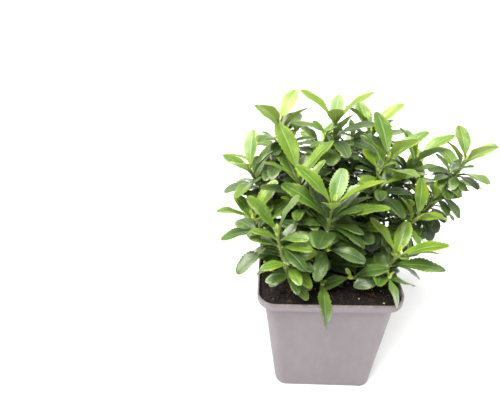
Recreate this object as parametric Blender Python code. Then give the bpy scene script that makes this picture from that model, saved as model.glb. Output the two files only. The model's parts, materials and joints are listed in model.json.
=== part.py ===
# Evergreen spindle: a young bush of several rooted shoots in a square nursery pot.
# Metres, Z up. The origin is the centre of the pot's flat underside, and the front is -Y.

import math
from collections import namedtuple

import bmesh
import bpy
import numpy as np
from mathutils.bvhtree import BVHTree

MM = 0.001
GAP = 0.3 * MM
SEED = 417

# Pot: a tapered square bucket that steps out to a collar round its mouth
RIM_WIDTH = 90 * MM
POT_HEIGHT = 93 * MM
RIM_CORNER = 12 * MM
COLLAR_DEPTH = 5.5 * MM
COLLAR_REACH = 4.0 * MM
WALL = 1.2 * MM
BASE_WIDTH = 69 * MM
BASE_CORNER = 8 * MM
FLOOR = 1.6 * MM
FOOT_ROUND = 0.8 * MM
EDGE_ROUND = 0.4 * MM
NECK_HALF = RIM_WIDTH / 2 - COLLAR_REACH
NECK_CORNER = RIM_CORNER - COLLAR_REACH + WALL
LEDGE = POT_HEIGHT - COLLAR_DEPTH + WALL
CORNER_STEPS = 4
DRAIN_RADIUS = 3.5 * MM
DRAIN_OFFSET = 21 * MM
DRAIN_SIDES = 12

# Soil: fills the pot up to its collar and dips between the stems
SOIL_TOP = 91.2 * MM
SOIL_DIP = 1.4 * MM
SOIL_RINGS = (0.82, 0.62, 0.41, 0.2)
STEM_PLOT = 5 * MM
PLOT_FADE = 7 * MM

# Waves of the soil's top: radians a metre and the phase of each, then its mean and height
WAVE_ACROSS = (150, 1.1)
WAVE_ALONG = (120, -0.6)
WAVE_SLANT = (260, 2.0)
SLANT_SHARE = 0.6
WAVE_MEAN = 0.5
WAVE_HEIGHT = 0.4

# Wood: every shoot tapers from its foot to its bud
FOOT_RADIUS = 1.65 * MM
BOUGH_RADIUS = 1.25 * MM
TIP_RADIUS = 0.9 * MM
FLARE = 1.1 * MM
FLARE_HEIGHT = 2.5 * MM
FLARE_STATIONS = (0.0, 1.5 * MM, 4.0 * MM)
LIMB_STEP = 8 * MM
LEADER_STEP = 14 * MM
SHORTEST_LIMB = 5 * MM
BUD_LENGTH = 4.2 * MM
BUD_SHAPE = ((0.4, 1.2 * MM), (1.0, 0.15 * MM))
LIMB_SIDES = 6
LIMB_FINENESS = 1
TWIG_SIDES = 4
FLAT_ANGLE = math.radians(2)
WELD_REACH = 0.001 * MM
LINE_STEPS = 65

# Leaves: opposite pairs, on most shoots each turned a quarter against the next one. The
# further a leaf leans out, the more it bends down and the flatter it opens
FIRST_NODES = (0.8 * MM, 4.5 * MM, 11 * MM)
INTERNODE = 8 * MM
NODE_MARGIN = 2.5 * MM
QUARTER = math.pi / 2
PAIR_LEAN = (34, 33, 49, 59, 66, 74, 80, 84)
PAIR_SIZE = (0.95, 0.82, 0.98, 0.95, 0.9, 0.84, 0.78, 0.72)
UPRIGHT_LEAN = 35
MOST_LEAN = 100
UPRIGHT_BEND = 0.5
BEND_PER_DEGREE = 0.017
MOST_BEND = 1.05
WIDEST_FOLD = 24
LEAST_FOLD = 8
FOLD_PER_DEGREE = 0.3
FOLD_FADE = 0.5
LIGHT_LIFT = 1.0
LIGHT_PULL = 0.35
LEAF_ASPECT = 0.21
LEAF_THICK = 0.85 * MM
PETIOLE = 0.08
PETIOLE_HALF = 0.45 * MM
WIDEST_POWER = 1.2
BASE_POWER = 0.95
TIP_POWER = 0.45
ROOT_OUT = 0.15 * MM
LEAF_STATIONS = (0.0, 0.3, 0.6, 0.9)

# Room: a leaf is tried in several poses, smaller each time, and skipped if none is free
CLEARANCE = 0.5 * MM
BLADE_FROM = 0.2
TRIES = 12
TURN_SPREAD = 0.5
LEAN_SPREAD = 0.35
TWIST_SPREAD = 0.3
SHRINK = 0.035
GRADE = (0.93, 1.06)
PROBE_STATIONS = 14
POT_CLEARANCE = 1.0 * MM

# Side twigs: short ones in the axils of the older leaves
TWIG_CHANCE = 0.45
TWIG_LENGTH = (8 * MM, 16 * MM)
TWIG_RADIUS = 0.8 * MM
TWIG_LEAN = 0.8
TWIG_TURN = (0.35, 0.6)
TWIG_PULL = 0.6
TWIG_BARE = 0.6
TWIG_BUD = 0.7
TWIG_PAIRS = (1.0, 0.55)
TWIG_SIZE = (0.4, 0.6)
TWIG_FROM_NODE = 2
TWIG_TRIES = 3
TWIG_DRAW = 7

# Colours as red, green and blue from 0 to 255
POT_COLOUR = (174, 165, 170)
SOIL_COLOUR = (40, 32, 30)
BARK_COLOUR = (88, 86, 58)
LEAF_COLOUR = (92, 128, 52)

# One row a shoot: its name; its parent and the share of the parent's length where it
# leaves, or its foot on the soil; its top, in mm from the pot's middle and above the
# rim; how far it arches outwards; the share of it that is bare; the turn of its top
# pair in degrees; its leaf length in mm; how much its lower leaves spread, 1 being
# usual; how many pairs its top has outgrown; how far its leaves twist, in radians; the
# least lean of the leaves below its top pair, in degrees; the turn from one pair to the
# next; the size of those below the top pair against the rule's; and the lean of the top
# pair, where it isn't the rule's
SHOOT_FIELDS = "name parent along foot top arch bare turn leaf spread age twist open step lower close"
Shoot = namedtuple("Shoot", SHOOT_FIELDS, defaults=(0.0, 0, 90, 1.0, 0))
SHOOTS = (
    Shoot(
        "front_left", None, 0, (-22, -29), (-32, -35, 45), 0.05, 0.15, 170, 31, 1.3, 0, 0.0, 52, -8, 0.76, 13
    ),
    Shoot("front", None, 0, (-6, -21), (0, -21, 55), -0.05, 0.12, 162, 36, 0.6, 0),
    Shoot("front_right", None, 0, (26, -21), (39, -27, 24), 0.1, 0.2, 158, 32, 0.8, 0),
    Shoot("middle", None, 0, (-13, 1), (-19, -3, 66), 0.0, 0.22, 115, 39, 0.6, 0),
    Shoot("right", None, 0, (17, 4), (36, 9, 71), 0.1, 0.28, 104, 36, 0.8, 0),
    Shoot("far_right", None, 0, (31, 9), (84, 13, 67), 0.2, 0.24, 100, 28, 1.2, 0),
    Shoot("back", None, 0, (2, 22), (5, 28, 88), 0.05, 0.3, 170, 32, 1.0, 0),
    Shoot("centre", None, 0, (7, -8), (15, 2, 43), 0.0, 0.15, 20, 34, 0.8, 0),
    Shoot("left", None, 0, (-28, -4), (-47, -10, 39), 0.15, 0.2, 40, 31, 1.0, 0),
    Shoot("back_left", None, 0, (-21, 22), (-30, 32, 85), 0.05, 0.3, 60, 31, 1.0, 0),
    Shoot("back_right", None, 0, (23, 30), (34, 50, 72), 0.1, 0.26, 20, 34, 1.0, 0),
    Shoot("right_low", "right", 0.2, None, (54, -8, 38), 0.1, 0.35, 95, 29, 1.2, 0),
    Shoot("right_mid", "far_right", 0.2, None, (68, 8, 43), 0.1, 0.35, 50, 24, 1.0, 0),
    Shoot("right_high", "right", 0.24, None, (60, 27, 62), 0.1, 0.3, 18, 31, 1.0, 0),
    Shoot("left_high", "back_left", 0.25, None, (-50, 16, 60), 0.1, 0.3, 75, 31, 1.0, 0),
    Shoot("back_low", "back", 0.25, None, (0, 64, 54), 0.1, 0.3, 45, 33, 1.0, 0),
    Shoot("back_left_low", "back_left", 0.18, None, (-42, 50, 42), 0.1, 0.3, 10, 31, 1.0, 0),
    Shoot("back_right_low", "back_right", 0.2, None, (62, 47, 36), 0.1, 0.3, 70, 32, 1.0, 0),
    Shoot("front_mid", "front", 0.42, None, (-3, -33, 33), 0.0, 0.3, 340, 24, 1.0, 3),
    Shoot("front_low", "front", 0.06, None, (-5, -34, 8), 0.0, 0.3, 268, 31, 0.8, 3, 1.5),
    Shoot("corner_low", "front_right", 0.15, None, (34, -34, 13), 0.25, 0.3, 275, 23, 1.3, 3, 0.8),
    Shoot("low_mid", "front_right", 0.1, None, (13, -31, 10), 0.0, 0.3, 5, 25, 1.1, 3),
)

Leaf = namedtuple("Leaf", "root ahead up length half bend fold twist")
Obstacle = namedtuple("Obstacle", "owner kind tree centre radius")


# Small helpers


def unit(v):
    return v / np.linalg.norm(v)


def linear(value):
    c = value / 255
    return c / 12.92 if c <= 0.04045 else ((c + 0.055) / 1.055) ** 2.4


def material(name, colour, roughness):
    made = bpy.data.materials.new(name)
    made.use_nodes = True
    shader = made.node_tree.nodes["Principled BSDF"]
    shader.inputs["Base Color"].default_value = (*map(linear, colour), 1.0)
    shader.inputs["Roughness"].default_value = roughness
    shader.inputs["Metallic"].default_value = 0.0
    return made


def mesh_object(name, points, faces, collection):
    mesh = bpy.data.meshes.new(name)
    mesh.from_pydata([tuple(p) for p in points], [], faces)
    mesh.update()
    made = bpy.data.objects.new(name, mesh)
    collection.objects.link(made)
    return made


def evaluated_mesh(source):
    bpy.context.view_layer.update()
    graph = bpy.context.evaluated_depsgraph_get()
    return bpy.data.meshes.new_from_object(source.evaluated_get(graph))


def new_collection(name):
    made = bpy.data.collections.new(name)
    bpy.context.scene.collection.children.link(made)
    return made


def remove_collection(collection):
    for member in list(collection.objects):
        bpy.data.objects.remove(member)
    bpy.data.collections.remove(collection)


# Pot and soil


def rounded_square(half_width, corner, z):
    """One ring of points round a square with rounded corners."""
    ring = []
    inset = (half_width - corner) * math.sqrt(2)
    for quarter in range(4):
        middle = (quarter + 0.5) * QUARTER
        for step in range(CORNER_STEPS + 1):
            angle = (quarter + step / CORNER_STEPS) * QUARTER
            x = inset * math.cos(middle) + corner * math.cos(angle)
            y = inset * math.sin(middle) + corner * math.sin(angle)
            ring.append((x, y, z))
    return ring


def loft(rings):
    """Quads between rings that follow each other."""
    size = len(rings[0])
    points = [p for ring in rings for p in ring]
    faces = []
    for level in range(len(rings) - 1):
        a = level * size
        for i in range(size):
            j = (i + 1) % size
            faces.append((a + i, a + j, a + size + j, a + size + i))
    return points, faces


def inner_wall(z):
    """Half width and corner radius of the pot's inner face at a height."""
    if z > LEDGE:
        return RIM_WIDTH / 2 - WALL, RIM_CORNER - WALL
    share = (z - FLOOR) / (LEDGE - FLOOR)
    half = BASE_WIDTH / 2 + share * (NECK_HALF - BASE_WIDTH / 2) - WALL
    corner = BASE_CORNER + share * (NECK_CORNER - BASE_CORNER) - WALL
    return half, corner


def make_pot(collection):
    foot = BASE_WIDTH / 2
    rim = RIM_WIDTH / 2
    under = POT_HEIGHT - COLLAR_DEPTH
    mouth, mouth_corner = inner_wall(POT_HEIGHT)
    levels = (
        (foot - FOOT_ROUND, BASE_CORNER - FOOT_ROUND, 0.0),
        (foot, BASE_CORNER, FOOT_ROUND),
        (NECK_HALF, NECK_CORNER, under),
        (rim, RIM_CORNER, under),
        (rim, RIM_CORNER, POT_HEIGHT - EDGE_ROUND),
        (rim - EDGE_ROUND, RIM_CORNER - EDGE_ROUND, POT_HEIGHT),
        (mouth + EDGE_ROUND, mouth_corner + EDGE_ROUND, POT_HEIGHT),
        (mouth, mouth_corner, POT_HEIGHT - EDGE_ROUND),
        (mouth, mouth_corner, LEDGE),
        (*inner_wall(LEDGE), LEDGE),
        (*inner_wall(FLOOR), FLOOR),
    )
    rings = [rounded_square(*level) for level in levels]
    points, faces = loft(rings)
    size = len(rings[0])
    faces.append(tuple(reversed(range(size))))
    faces.append(tuple(range(len(points) - size, len(points))))
    pot = mesh_object("pot", points, faces, collection)
    cut_drains(pot)
    return pot


def cut_drains(pot):
    """Four round drain holes through the floor, near its corners."""
    cutters = new_collection("drain_cutters")
    for corner in range(4):
        angle = (corner + 0.5) * QUARTER
        reach = DRAIN_OFFSET * math.sqrt(2)
        bpy.ops.mesh.primitive_cylinder_add(
            vertices=DRAIN_SIDES,
            radius=DRAIN_RADIUS,
            depth=4 * FLOOR,
            location=(reach * math.cos(angle), reach * math.sin(angle), FLOOR / 2),
        )
        cutter = bpy.context.object
        for home in list(cutter.users_collection):
            home.objects.unlink(cutter)
        cutters.objects.link(cutter)
    cut = pot.modifiers.new("drains", "BOOLEAN")
    cut.operation = "DIFFERENCE"
    cut.operand_type = "COLLECTION"
    cut.collection = cutters
    cut.solver = "EXACT"
    pot.data = evaluated_mesh(pot)
    pot.modifiers.clear()
    remove_collection(cutters)


def soil_height(x, y):
    """The level dips between the stems and is flat where a stem stands."""
    wave = math.sin(WAVE_ACROSS[0] * x + WAVE_ACROSS[1]) * math.cos(WAVE_ALONG[0] * y + WAVE_ALONG[1])
    wave += SLANT_SHARE * math.sin(WAVE_SLANT[0] * (x + y) + WAVE_SLANT[1])
    dip = SOIL_DIP * min(1.0, max(0.0, WAVE_MEAN + WAVE_HEIGHT * wave))
    for shoot in SHOOTS:
        if shoot.foot:
            away = math.hypot(x - shoot.foot[0] * MM, y - shoot.foot[1] * MM)
            dip *= min(1.0, max(0.0, (away - STEM_PLOT) / PLOT_FADE))
    return SOIL_TOP - dip


def make_soil(collection):
    """A block that fits the pot, steps out over its ledge and has an uneven top."""
    step = LEDGE + GAP
    edge = SOIL_TOP - SOIL_DIP
    rings = []
    levels = ((FLOOR, FLOOR + GAP), (LEDGE, step), (POT_HEIGHT, step), (POT_HEIGHT, edge))
    for wall_height, z in levels:
        half, corner = inner_wall(wall_height)
        rings.append(rounded_square(half - GAP, corner - GAP, z))
    half, corner = inner_wall(POT_HEIGHT)
    for share in SOIL_RINGS:
        flat = rounded_square(share * half, share * corner, 0)
        rings.append([(x, y, soil_height(x, y)) for x, y, _ in flat])
    points, faces = loft(rings)
    size = len(rings[0])
    faces.append(tuple(reversed(range(size))))
    points.append((0, 0, soil_height(0, 0)))
    last = len(points) - 1
    inner = last - size
    for i in range(size):
        faces.append((inner + i, inner + (i + 1) % size, last))
    return mesh_object("soil", points, faces, collection)


# Shoots


class Axis:
    """A shoot's centre line: a curve of one bend, with its radius along it."""

    def __init__(self, shoot, parent):
        self.shoot = shoot
        self.end = np.array(shoot.top) * MM + (0, 0, POT_HEIGHT)
        self.rooted = parent is None
        if self.rooted:
            self.start = np.array([shoot.foot[0] * MM, shoot.foot[1] * MM, SOIL_TOP + GAP])
            self.radius = FOOT_RADIUS
        else:
            self.start = parent.point(shoot.along)
            self.radius = BOUGH_RADIUS
        out = 0.5 + shoot.arch
        self.bend = self.start + (self.end - self.start) * (out, out, 1 - out)
        self.steps = np.linspace(0, 1, LINE_STEPS)
        line = np.array([self.point(t) for t in self.steps])
        runs = np.linalg.norm(np.diff(line, axis=0), axis=1)
        self.marks = np.concatenate([[0.0], np.cumsum(runs)])
        self.length = float(self.marks[-1])
        self.first = 0.0 if self.rooted else self.side_clearance(parent)
        self.leafy = max(self.length * shoot.bare, self.first + SHORTEST_LIMB)

    def side_clearance(self, parent):
        """How far along the shoot its cut end clears the side of its parent."""
        lean = float(np.dot(self.tangent(0), parent.tangent(self.shoot.along)))
        host = parent.radius_at(self.shoot.along * parent.length)
        return (host + GAP + self.radius * abs(lean)) / math.sqrt(1 - lean * lean)

    def point(self, t):
        return (1 - t) ** 2 * self.start + 2 * t * (1 - t) * self.bend + t * t * self.end

    def tangent(self, t):
        return unit((1 - t) * (self.bend - self.start) + t * (self.end - self.bend))

    def share(self, distance):
        return float(np.interp(distance, self.marks, self.steps))

    def at(self, distance):
        return self.point(self.share(distance))

    def heading(self, distance):
        return self.tangent(self.share(distance))

    def radius_at(self, distance):
        taper = self.radius + (TIP_RADIUS - self.radius) * distance / self.length
        if self.rooted:
            taper += FLARE * math.exp(-distance / FLARE_HEIGHT)
        return taper

    def nodes(self):
        """Distances along the axis of its leaf pairs, from the top pair down."""
        found = []
        down = FIRST_NODES[0]
        while self.length - down > self.leafy + NODE_MARGIN:
            found.append(self.length - down)
            more = len(found) < len(FIRST_NODES)
            down = FIRST_NODES[len(found)] if more else down + INTERNODE
        return found


def make_axes():
    axes = {}
    for shoot in SHOOTS:
        axes[shoot.name] = Axis(shoot, axes.get(shoot.parent))
    return axes


def stations(low, high, step):
    count = max(1, round((high - low) / step))
    return [low + (high - low) * i / count for i in range(count + 1)]


def limb_line(axis):
    """Points and radii of the bare limb, from its cut end to where its leaves begin."""
    marks = stations(axis.first, axis.leafy, LIMB_STEP)
    if axis.rooted:
        marks = list(FLARE_STATIONS) + [m for m in marks if m > FLARE_STATIONS[-1] + MM]
    points = [axis.at(m) for m in marks]
    if axis.rooted:
        points[1] = points[0] + (0, 0, FLARE_STATIONS[1])
    return points, [axis.radius_at(m) for m in marks]


def leader_line(axis):
    """Points and radii of the leafy stem, which goes on from the limb and ends in a bud."""
    marks = stations(axis.leafy + GAP, axis.length, LEADER_STEP)
    points = [axis.at(m) for m in marks]
    radii = [axis.radius_at(m) for m in marks]
    return with_bud(points, radii, axis.tangent(1), 1.0)


def with_bud(points, radii, heading, size):
    tip = points[-1]
    for share, radius in BUD_SHAPE:
        points.append(tip + heading * share * size * BUD_LENGTH)
        radii.append(radius * size)
    return points, radii


def across(heading):
    """Two directions across a heading, the first as near to +X as it can be."""
    first = unit(np.array([1.0, 0.0, 0.0]) - heading * heading[0])
    return first, np.cross(heading, first)


def tube_solid(points, radii, sides=LIMB_SIDES, turn=0.0):
    """A tapering stem as points and faces: round, or four-angled with its ridges between
    the leaf pairs."""
    rings = []
    for i, point in enumerate(points):
        before = points[max(0, i - 1)]
        after = points[min(len(points) - 1, i + 1)]
        first, second = across(unit(after - before))
        ring = []
        for side in range(sides):
            angle = turn + (side + 0.5) / sides * math.tau
            ring.append(point + radii[i] * (math.cos(angle) * first + math.sin(angle) * second))
        rings.append(ring)
    made, faces = loft(rings)
    faces.append(tuple(reversed(range(sides))))
    faces.append(tuple(range(len(made) - sides, len(made))))
    return np.array(made), faces


# Leaves


def leaf_spot(leaf, u):
    """The midrib's point, its upward and its sideways direction at a share of the length."""
    turn = leaf.bend * u
    ahead = math.sin(turn) / leaf.bend
    drop = (1 - math.cos(turn)) / leaf.bend
    middle = leaf.root + leaf.length * (ahead * leaf.ahead - drop * leaf.up)
    up = math.sin(turn) * leaf.ahead + math.cos(turn) * leaf.up
    side = np.cross(leaf.ahead, leaf.up)
    roll = leaf.twist * u
    return (
        middle,
        math.cos(roll) * up - math.sin(roll) * side,
        math.cos(roll) * side + math.sin(roll) * up,
    )


def leaf_half(leaf, u):
    """Half width: a narrow petiole, then an outline that is widest past its middle."""
    v = max(0.0, (u - PETIOLE) / (1 - PETIOLE))
    power = BASE_POWER + (TIP_POWER - BASE_POWER) * v
    blade = leaf.half * max(0.0, math.sin(math.pi * v**WIDEST_POWER)) ** power
    return max(PETIOLE_HALF, blade)


def leaf_solid(leaf, grow=0.0, first=0.0):
    """A folded blade: its two margins, its midrib and the keel below it, to one tip."""
    points = []
    shares = [first] + [u for u in LEAF_STATIONS if u > first]
    for u in shares:
        middle, up, side = leaf_spot(leaf, u)
        half = leaf_half(leaf, u) + grow
        fold = leaf.fold * (1 - FOLD_FADE * u)
        out = half * math.cos(fold) * side
        lift = half * math.sin(fold) * up
        keel = (LEAF_THICK / 2 + grow) * up
        points += [middle - out + lift, middle + keel, middle + out + lift, middle - keel]
    tip, up, side = leaf_spot(leaf, 1.0 + grow / leaf.length)
    rings = [points[i : i + 4] for i in range(0, len(points), 4)]
    made, faces = loft(rings)
    faces.append((3, 2, 1, 0))
    last = len(made)
    made.append(tip)
    for i in range(4):
        faces.append((last - 4 + i, last - 4 + (i + 1) % 4, last))
    return np.array(made), faces


def pose_leaf(root, heading, turn, lean, size, twist):
    """A leaf at a turn about its stem's heading, lifted to the light, and a lean from it."""
    light = np.array([0.0, 0.0, 1.0])
    heading = unit(heading + LIGHT_LIFT * light)
    first, second = across(heading)
    out = math.cos(turn) * first + math.sin(turn) * second
    ahead = math.cos(lean) * heading + math.sin(lean) * out
    above = math.sin(lean) * heading - math.cos(lean) * out
    above = above + LIGHT_PULL * light
    up = unit(above - ahead * np.dot(above, ahead))
    more = max(0.0, math.degrees(lean) - UPRIGHT_LEAN)
    return Leaf(
        root + ROOT_OUT * ahead,
        ahead,
        up,
        size,
        LEAF_ASPECT * size,
        min(MOST_BEND, UPRIGHT_BEND + BEND_PER_DEGREE * more),
        math.radians(max(LEAST_FOLD, WIDEST_FOLD - FOLD_PER_DEGREE * more)),
        twist,
    )


# Room


class Room:
    """What has been placed, so that each new piece can be tried against it."""

    def __init__(self):
        self.placed = []

    def add(self, owner, kind, points, faces):
        tree = BVHTree.FromPolygons([tuple(p) for p in points], faces)
        centre = (points.min(axis=0) + points.max(axis=0)) / 2
        radius = float(np.linalg.norm(points - centre, axis=1).max())
        self.placed.append(Obstacle(owner, kind, tree, centre, radius))

    def free(self, points, faces, wanted):
        centre = (points.min(axis=0) + points.max(axis=0)) / 2
        radius = float(np.linalg.norm(points - centre, axis=1).max())
        tree = None
        for thing in self.placed:
            if not wanted(thing):
                continue
            if np.linalg.norm(thing.centre - centre) > thing.radius + radius:
                continue
            if tree is None:
                tree = BVHTree.FromPolygons([tuple(p) for p in points], faces)
            if tree.overlap(thing.tree):
                return False
        return True


def clear_of_pot(points):
    """True where every point is outside the pot and above the soil."""
    square = np.abs(points[:, :2]).max(axis=1)
    inside = RIM_WIDTH / 2 - WALL - POT_CLEARANCE
    outside = RIM_WIDTH / 2 + POT_CLEARANCE
    low = points[:, 2] < POT_HEIGHT + POT_CLEARANCE
    in_wall = low & (square > inside) & (square < outside)
    in_soil = (square <= inside) & (points[:, 2] < SOIL_TOP + POT_CLEARANCE)
    in_ground = points[:, 2] < POT_CLEARANCE
    return not (in_wall | in_soil | in_ground).any()


def leaf_probe(leaf):
    """Points along both margins and the midrib."""
    points = []
    for u in np.linspace(PETIOLE, 1, PROBE_STATIONS):
        middle, up, side = leaf_spot(leaf, u)
        half = leaf_half(leaf, u)
        fold = leaf.fold * (1 - FOLD_FADE * u)
        lift = half * math.sin(fold) * up
        out = half * math.cos(fold) * side
        points += [middle - out + lift, middle, middle + out + lift]
    return np.array(points)


def fits(room, leaf, owner):
    if not clear_of_pot(leaf_probe(leaf)):
        return False
    whole, whole_faces = leaf_solid(leaf, CLEARANCE)
    blade, blade_faces = leaf_solid(leaf, CLEARANCE, BLADE_FROM)

    def others(thing):
        return thing.owner != owner and thing.kind != "blade"

    def own(thing):
        return thing.owner == owner and thing.kind != "leaf"

    return room.free(whole, whole_faces, others) and room.free(blade, blade_faces, own)


def pair_value(values, pair):
    return values[min(pair, len(values) - 1)]


def turn_of(shoot, pair, side):
    return math.radians(shoot.turn + pair * shoot.step) + side * math.pi


def place_leaf(room, shoot, root, heading, turn, pair, size, rng):
    """The first free pose of a leaf, or None: it turns, leans and shrinks a little more
    at each try."""
    sway = rng.uniform(-1, 1, (TRIES, 3))
    grade = rng.uniform(*GRADE)
    spread = PAIR_LEAN[0] + shoot.spread * (pair_value(PAIR_LEAN, pair) - PAIR_LEAN[0])
    spread = min(MOST_LEAN, max(spread, shoot.open if pair else 0))
    if pair == 0 and shoot.close:
        spread = shoot.close
    for attempt in range(TRIES):
        loose = (attempt + 1) / TRIES
        leaf = pose_leaf(
            root,
            heading,
            turn + TURN_SPREAD * loose * sway[attempt, 1],
            math.radians(spread) + LEAN_SPREAD * loose * sway[attempt, 0],
            size * grade * (1 - SHRINK * attempt),
            shoot.twist + TWIST_SPREAD * sway[attempt, 2],
        )
        if fits(room, leaf, shoot.name):
            room.add(shoot.name, "leaf", *leaf_solid(leaf, CLEARANCE))
            room.add(shoot.name, "blade", *leaf_solid(leaf, CLEARANCE, BLADE_FROM))
            return leaf
    return None


# Growth


def grow_leaves(axes, room):
    """Leaf pairs on every leader, all the top pairs first."""
    leaves = {name: [] for name in axes}
    deepest = max(len(axis.nodes()) for axis in axes.values())
    for pair in range(deepest):
        for index, (name, axis) in enumerate(axes.items()):
            nodes = axis.nodes()
            if pair >= len(nodes):
                continue
            age = pair + axis.shoot.age
            size = axis.shoot.leaf * MM * pair_value(PAIR_SIZE, age)
            size *= axis.shoot.lower if pair else 1
            root, heading = axis.at(nodes[pair]), axis.heading(nodes[pair])
            for side in range(2):
                rng = np.random.default_rng((SEED, index, pair, side))
                turn = turn_of(axis.shoot, pair, side)
                leaf = place_leaf(room, axis.shoot, root, heading, turn, age, size, rng)
                if leaf:
                    leaves[name].append(leaf)
    return leaves


def twig_line(root, heading, turn, length):
    """A short twig that curves up towards its leader's heading."""
    first, second = across(heading)
    out = math.cos(turn) * first + math.sin(turn) * second
    start = math.cos(TWIG_LEAN) * heading + math.sin(TWIG_LEAN) * out
    finish = unit(start + TWIG_PULL * heading)
    middle = root + start * length * 0.5
    end = middle + finish * length * 0.5
    points, radii = [root, middle, end], [TWIG_RADIUS] * 3
    return with_bud(points, radii, finish, TWIG_BUD), finish


def grow_twigs(axes, room, leaves):
    """Short side twigs of one or two pairs, where there is room for them."""
    twigs = {name: [] for name in axes}
    for index, (name, axis) in enumerate(axes.items()):
        for pair, mark in enumerate(axis.nodes()):
            if pair < TWIG_FROM_NODE:
                continue
            for side in range(2):
                rng = np.random.default_rng((SEED, index, pair, side, TWIG_DRAW))
                if rng.random() > TWIG_CHANCE:
                    continue
                turn = turn_of(axis.shoot, pair, side)
                twig = place_twig(axis, mark, turn, room, name, leaves, rng)
                if twig:
                    twigs[name].append(twig)
    return twigs


def place_twig(axis, mark, turn, room, name, leaves, rng):
    for attempt in range(TWIG_TRIES):
        length = rng.uniform(*TWIG_LENGTH)
        bearing = turn + rng.uniform(*TWIG_TURN) * rng.choice((-1, 1))
        line, finish = twig_line(axis.at(mark), axis.heading(mark), bearing, length)
        outer = [line[0][0] + (line[0][1] - line[0][0]) * TWIG_BARE] + line[0][1:]
        body, body_faces = tube_solid(outer, [r + CLEARANCE for r in line[1]])
        if not clear_of_pot(body):
            continue
        if not room.free(body, body_faces, lambda thing: thing.kind != "blade"):
            continue
        room.add(name, "twig", body, body_faces)
        for pair, share in enumerate(TWIG_PAIRS):
            spot = line[0][1] + (line[0][2] - line[0][1]) * (share * 2 - 1)
            size = axis.shoot.leaf * MM * rng.uniform(*TWIG_SIZE)
            for side in range(2):
                around = bearing + pair * QUARTER + side * math.pi + QUARTER
                leaf = place_leaf(room, axis.shoot, spot, finish, around, pair + 1, size, rng)
                if leaf:
                    leaves[name].append(leaf)
        return line, bearing
    return None


# Solids


def tube_object(name, points, radii, collection):
    """A tapering tube with closed ends, from a curve with a radius at each point."""
    curve = bpy.data.curves.new(name + "_line", "CURVE")
    curve.dimensions = "3D"
    curve.bevel_depth = MM
    curve.bevel_resolution = LIMB_FINENESS
    curve.use_fill_caps = True
    spline = curve.splines.new("POLY")
    spline.points.add(len(points) - 1)
    for knot, point, radius in zip(spline.points, points, radii):
        knot.co = (*point, 1.0)
        knot.radius = radius / MM
    guide = bpy.data.objects.new(name + "_line", curve)
    collection.objects.link(guide)
    mesh = evaluated_mesh(guide)
    mesh.name = name
    bpy.data.objects.remove(guide)
    weld(mesh)
    made = bpy.data.objects.new(name, mesh)
    collection.objects.link(made)
    return made


def weld(mesh):
    shape = bmesh.new()
    shape.from_mesh(mesh)
    bmesh.ops.remove_doubles(shape, verts=shape.verts, dist=WELD_REACH)
    bmesh.ops.recalc_face_normals(shape, faces=shape.faces)
    shape.to_mesh(mesh)
    shape.free()


def pieces_of(shape):
    """The separate bodies of a mesh, as lists of faces."""
    left = set(shape.faces)
    found = []
    while left:
        body = []
        edge = [left.pop()]
        while edge:
            face = edge.pop()
            body.append(face)
            for link in (f for e in face.edges for f in e.link_faces):
                if link in left:
                    left.remove(link)
                    edge.append(link)
        found.append(body)
    return found


def volume_of(body):
    total = 0.0
    for face in body:
        first = face.verts[0].co
        for a, b in zip(face.verts[1:-1], face.verts[2:]):
            total += first.dot(a.co.cross(b.co)) / 6
    return total


def keep_largest(mesh):
    """Fills sealed hollows and drops loose scraps: only the largest body is kept."""
    shape = bmesh.new()
    shape.from_mesh(mesh)
    bmesh.ops.dissolve_limit(
        shape, angle_limit=FLAT_ANGLE, verts=shape.verts, edges=shape.edges
    )
    bmesh.ops.triangulate(shape, faces=shape.faces)
    bodies = sorted(pieces_of(shape), key=volume_of)
    for body in bodies[:-1]:
        bmesh.ops.delete(shape, geom=body, context="FACES")
    shape.to_mesh(mesh)
    shape.free()


def make_mass(name, axis, leaves, twigs, collection):
    """One solid of a leafy stem, its side twigs and all their leaves."""
    turn = math.radians(axis.shoot.turn)
    mass = mesh_object(name, *tube_solid(*leader_line(axis), TWIG_SIDES, turn), collection)
    members = new_collection(name + "_members")
    for i, (line, bearing) in enumerate(twigs):
        mesh_object(f"{name}_twig_{i}", *tube_solid(*line, TWIG_SIDES, bearing), members)
    for i, leaf in enumerate(leaves):
        mesh_object(f"{name}_leaf_{i}", *leaf_solid(leaf), members)
    join = mass.modifiers.new("join", "BOOLEAN")
    join.operation = "UNION"
    join.operand_type = "COLLECTION"
    join.collection = members
    join.solver = "EXACT"
    mass.data = evaluated_mesh(mass)
    mass.modifiers.clear()
    remove_collection(members)
    keep_largest(mass.data)
    return mass


def limb_name(axis):
    return ("stem_" if axis.rooted else "bough_") + axis.shoot.name


def build():
    for thing in list(bpy.data.objects):
        bpy.data.objects.remove(thing)
    plant = new_collection("spindle_in_pot")
    pot_material = material("pot_plastic", POT_COLOUR, 0.5)
    soil_material = material("potting_soil", SOIL_COLOUR, 0.95)
    bark_material = material("green_bark", BARK_COLOUR, 0.6)
    leaf_material = material("leaf", LEAF_COLOUR, 0.3)
    make_pot(plant).data.materials.append(pot_material)
    make_soil(plant).data.materials.append(soil_material)
    axes = make_axes()
    room = Room()
    for name, axis in axes.items():
        room.add(name, "limb", *tube_solid(*limb_line(axis)))
        room.add(name, "twig", *tube_solid(*leader_line(axis)))
    leaves = grow_leaves(axes, room)
    twigs = grow_twigs(axes, room, leaves)
    for name, axis in axes.items():
        limb = tube_object(limb_name(axis), *limb_line(axis), plant)
        limb.data.materials.append(bark_material)
        mass = make_mass("leaves_" + name, axis, leaves[name], twigs[name], plant)
        mass.data.materials.clear()
        mass.data.materials.append(leaf_material)
    return axes, leaves, twigs


axes, leaves, twigs = build()
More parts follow.
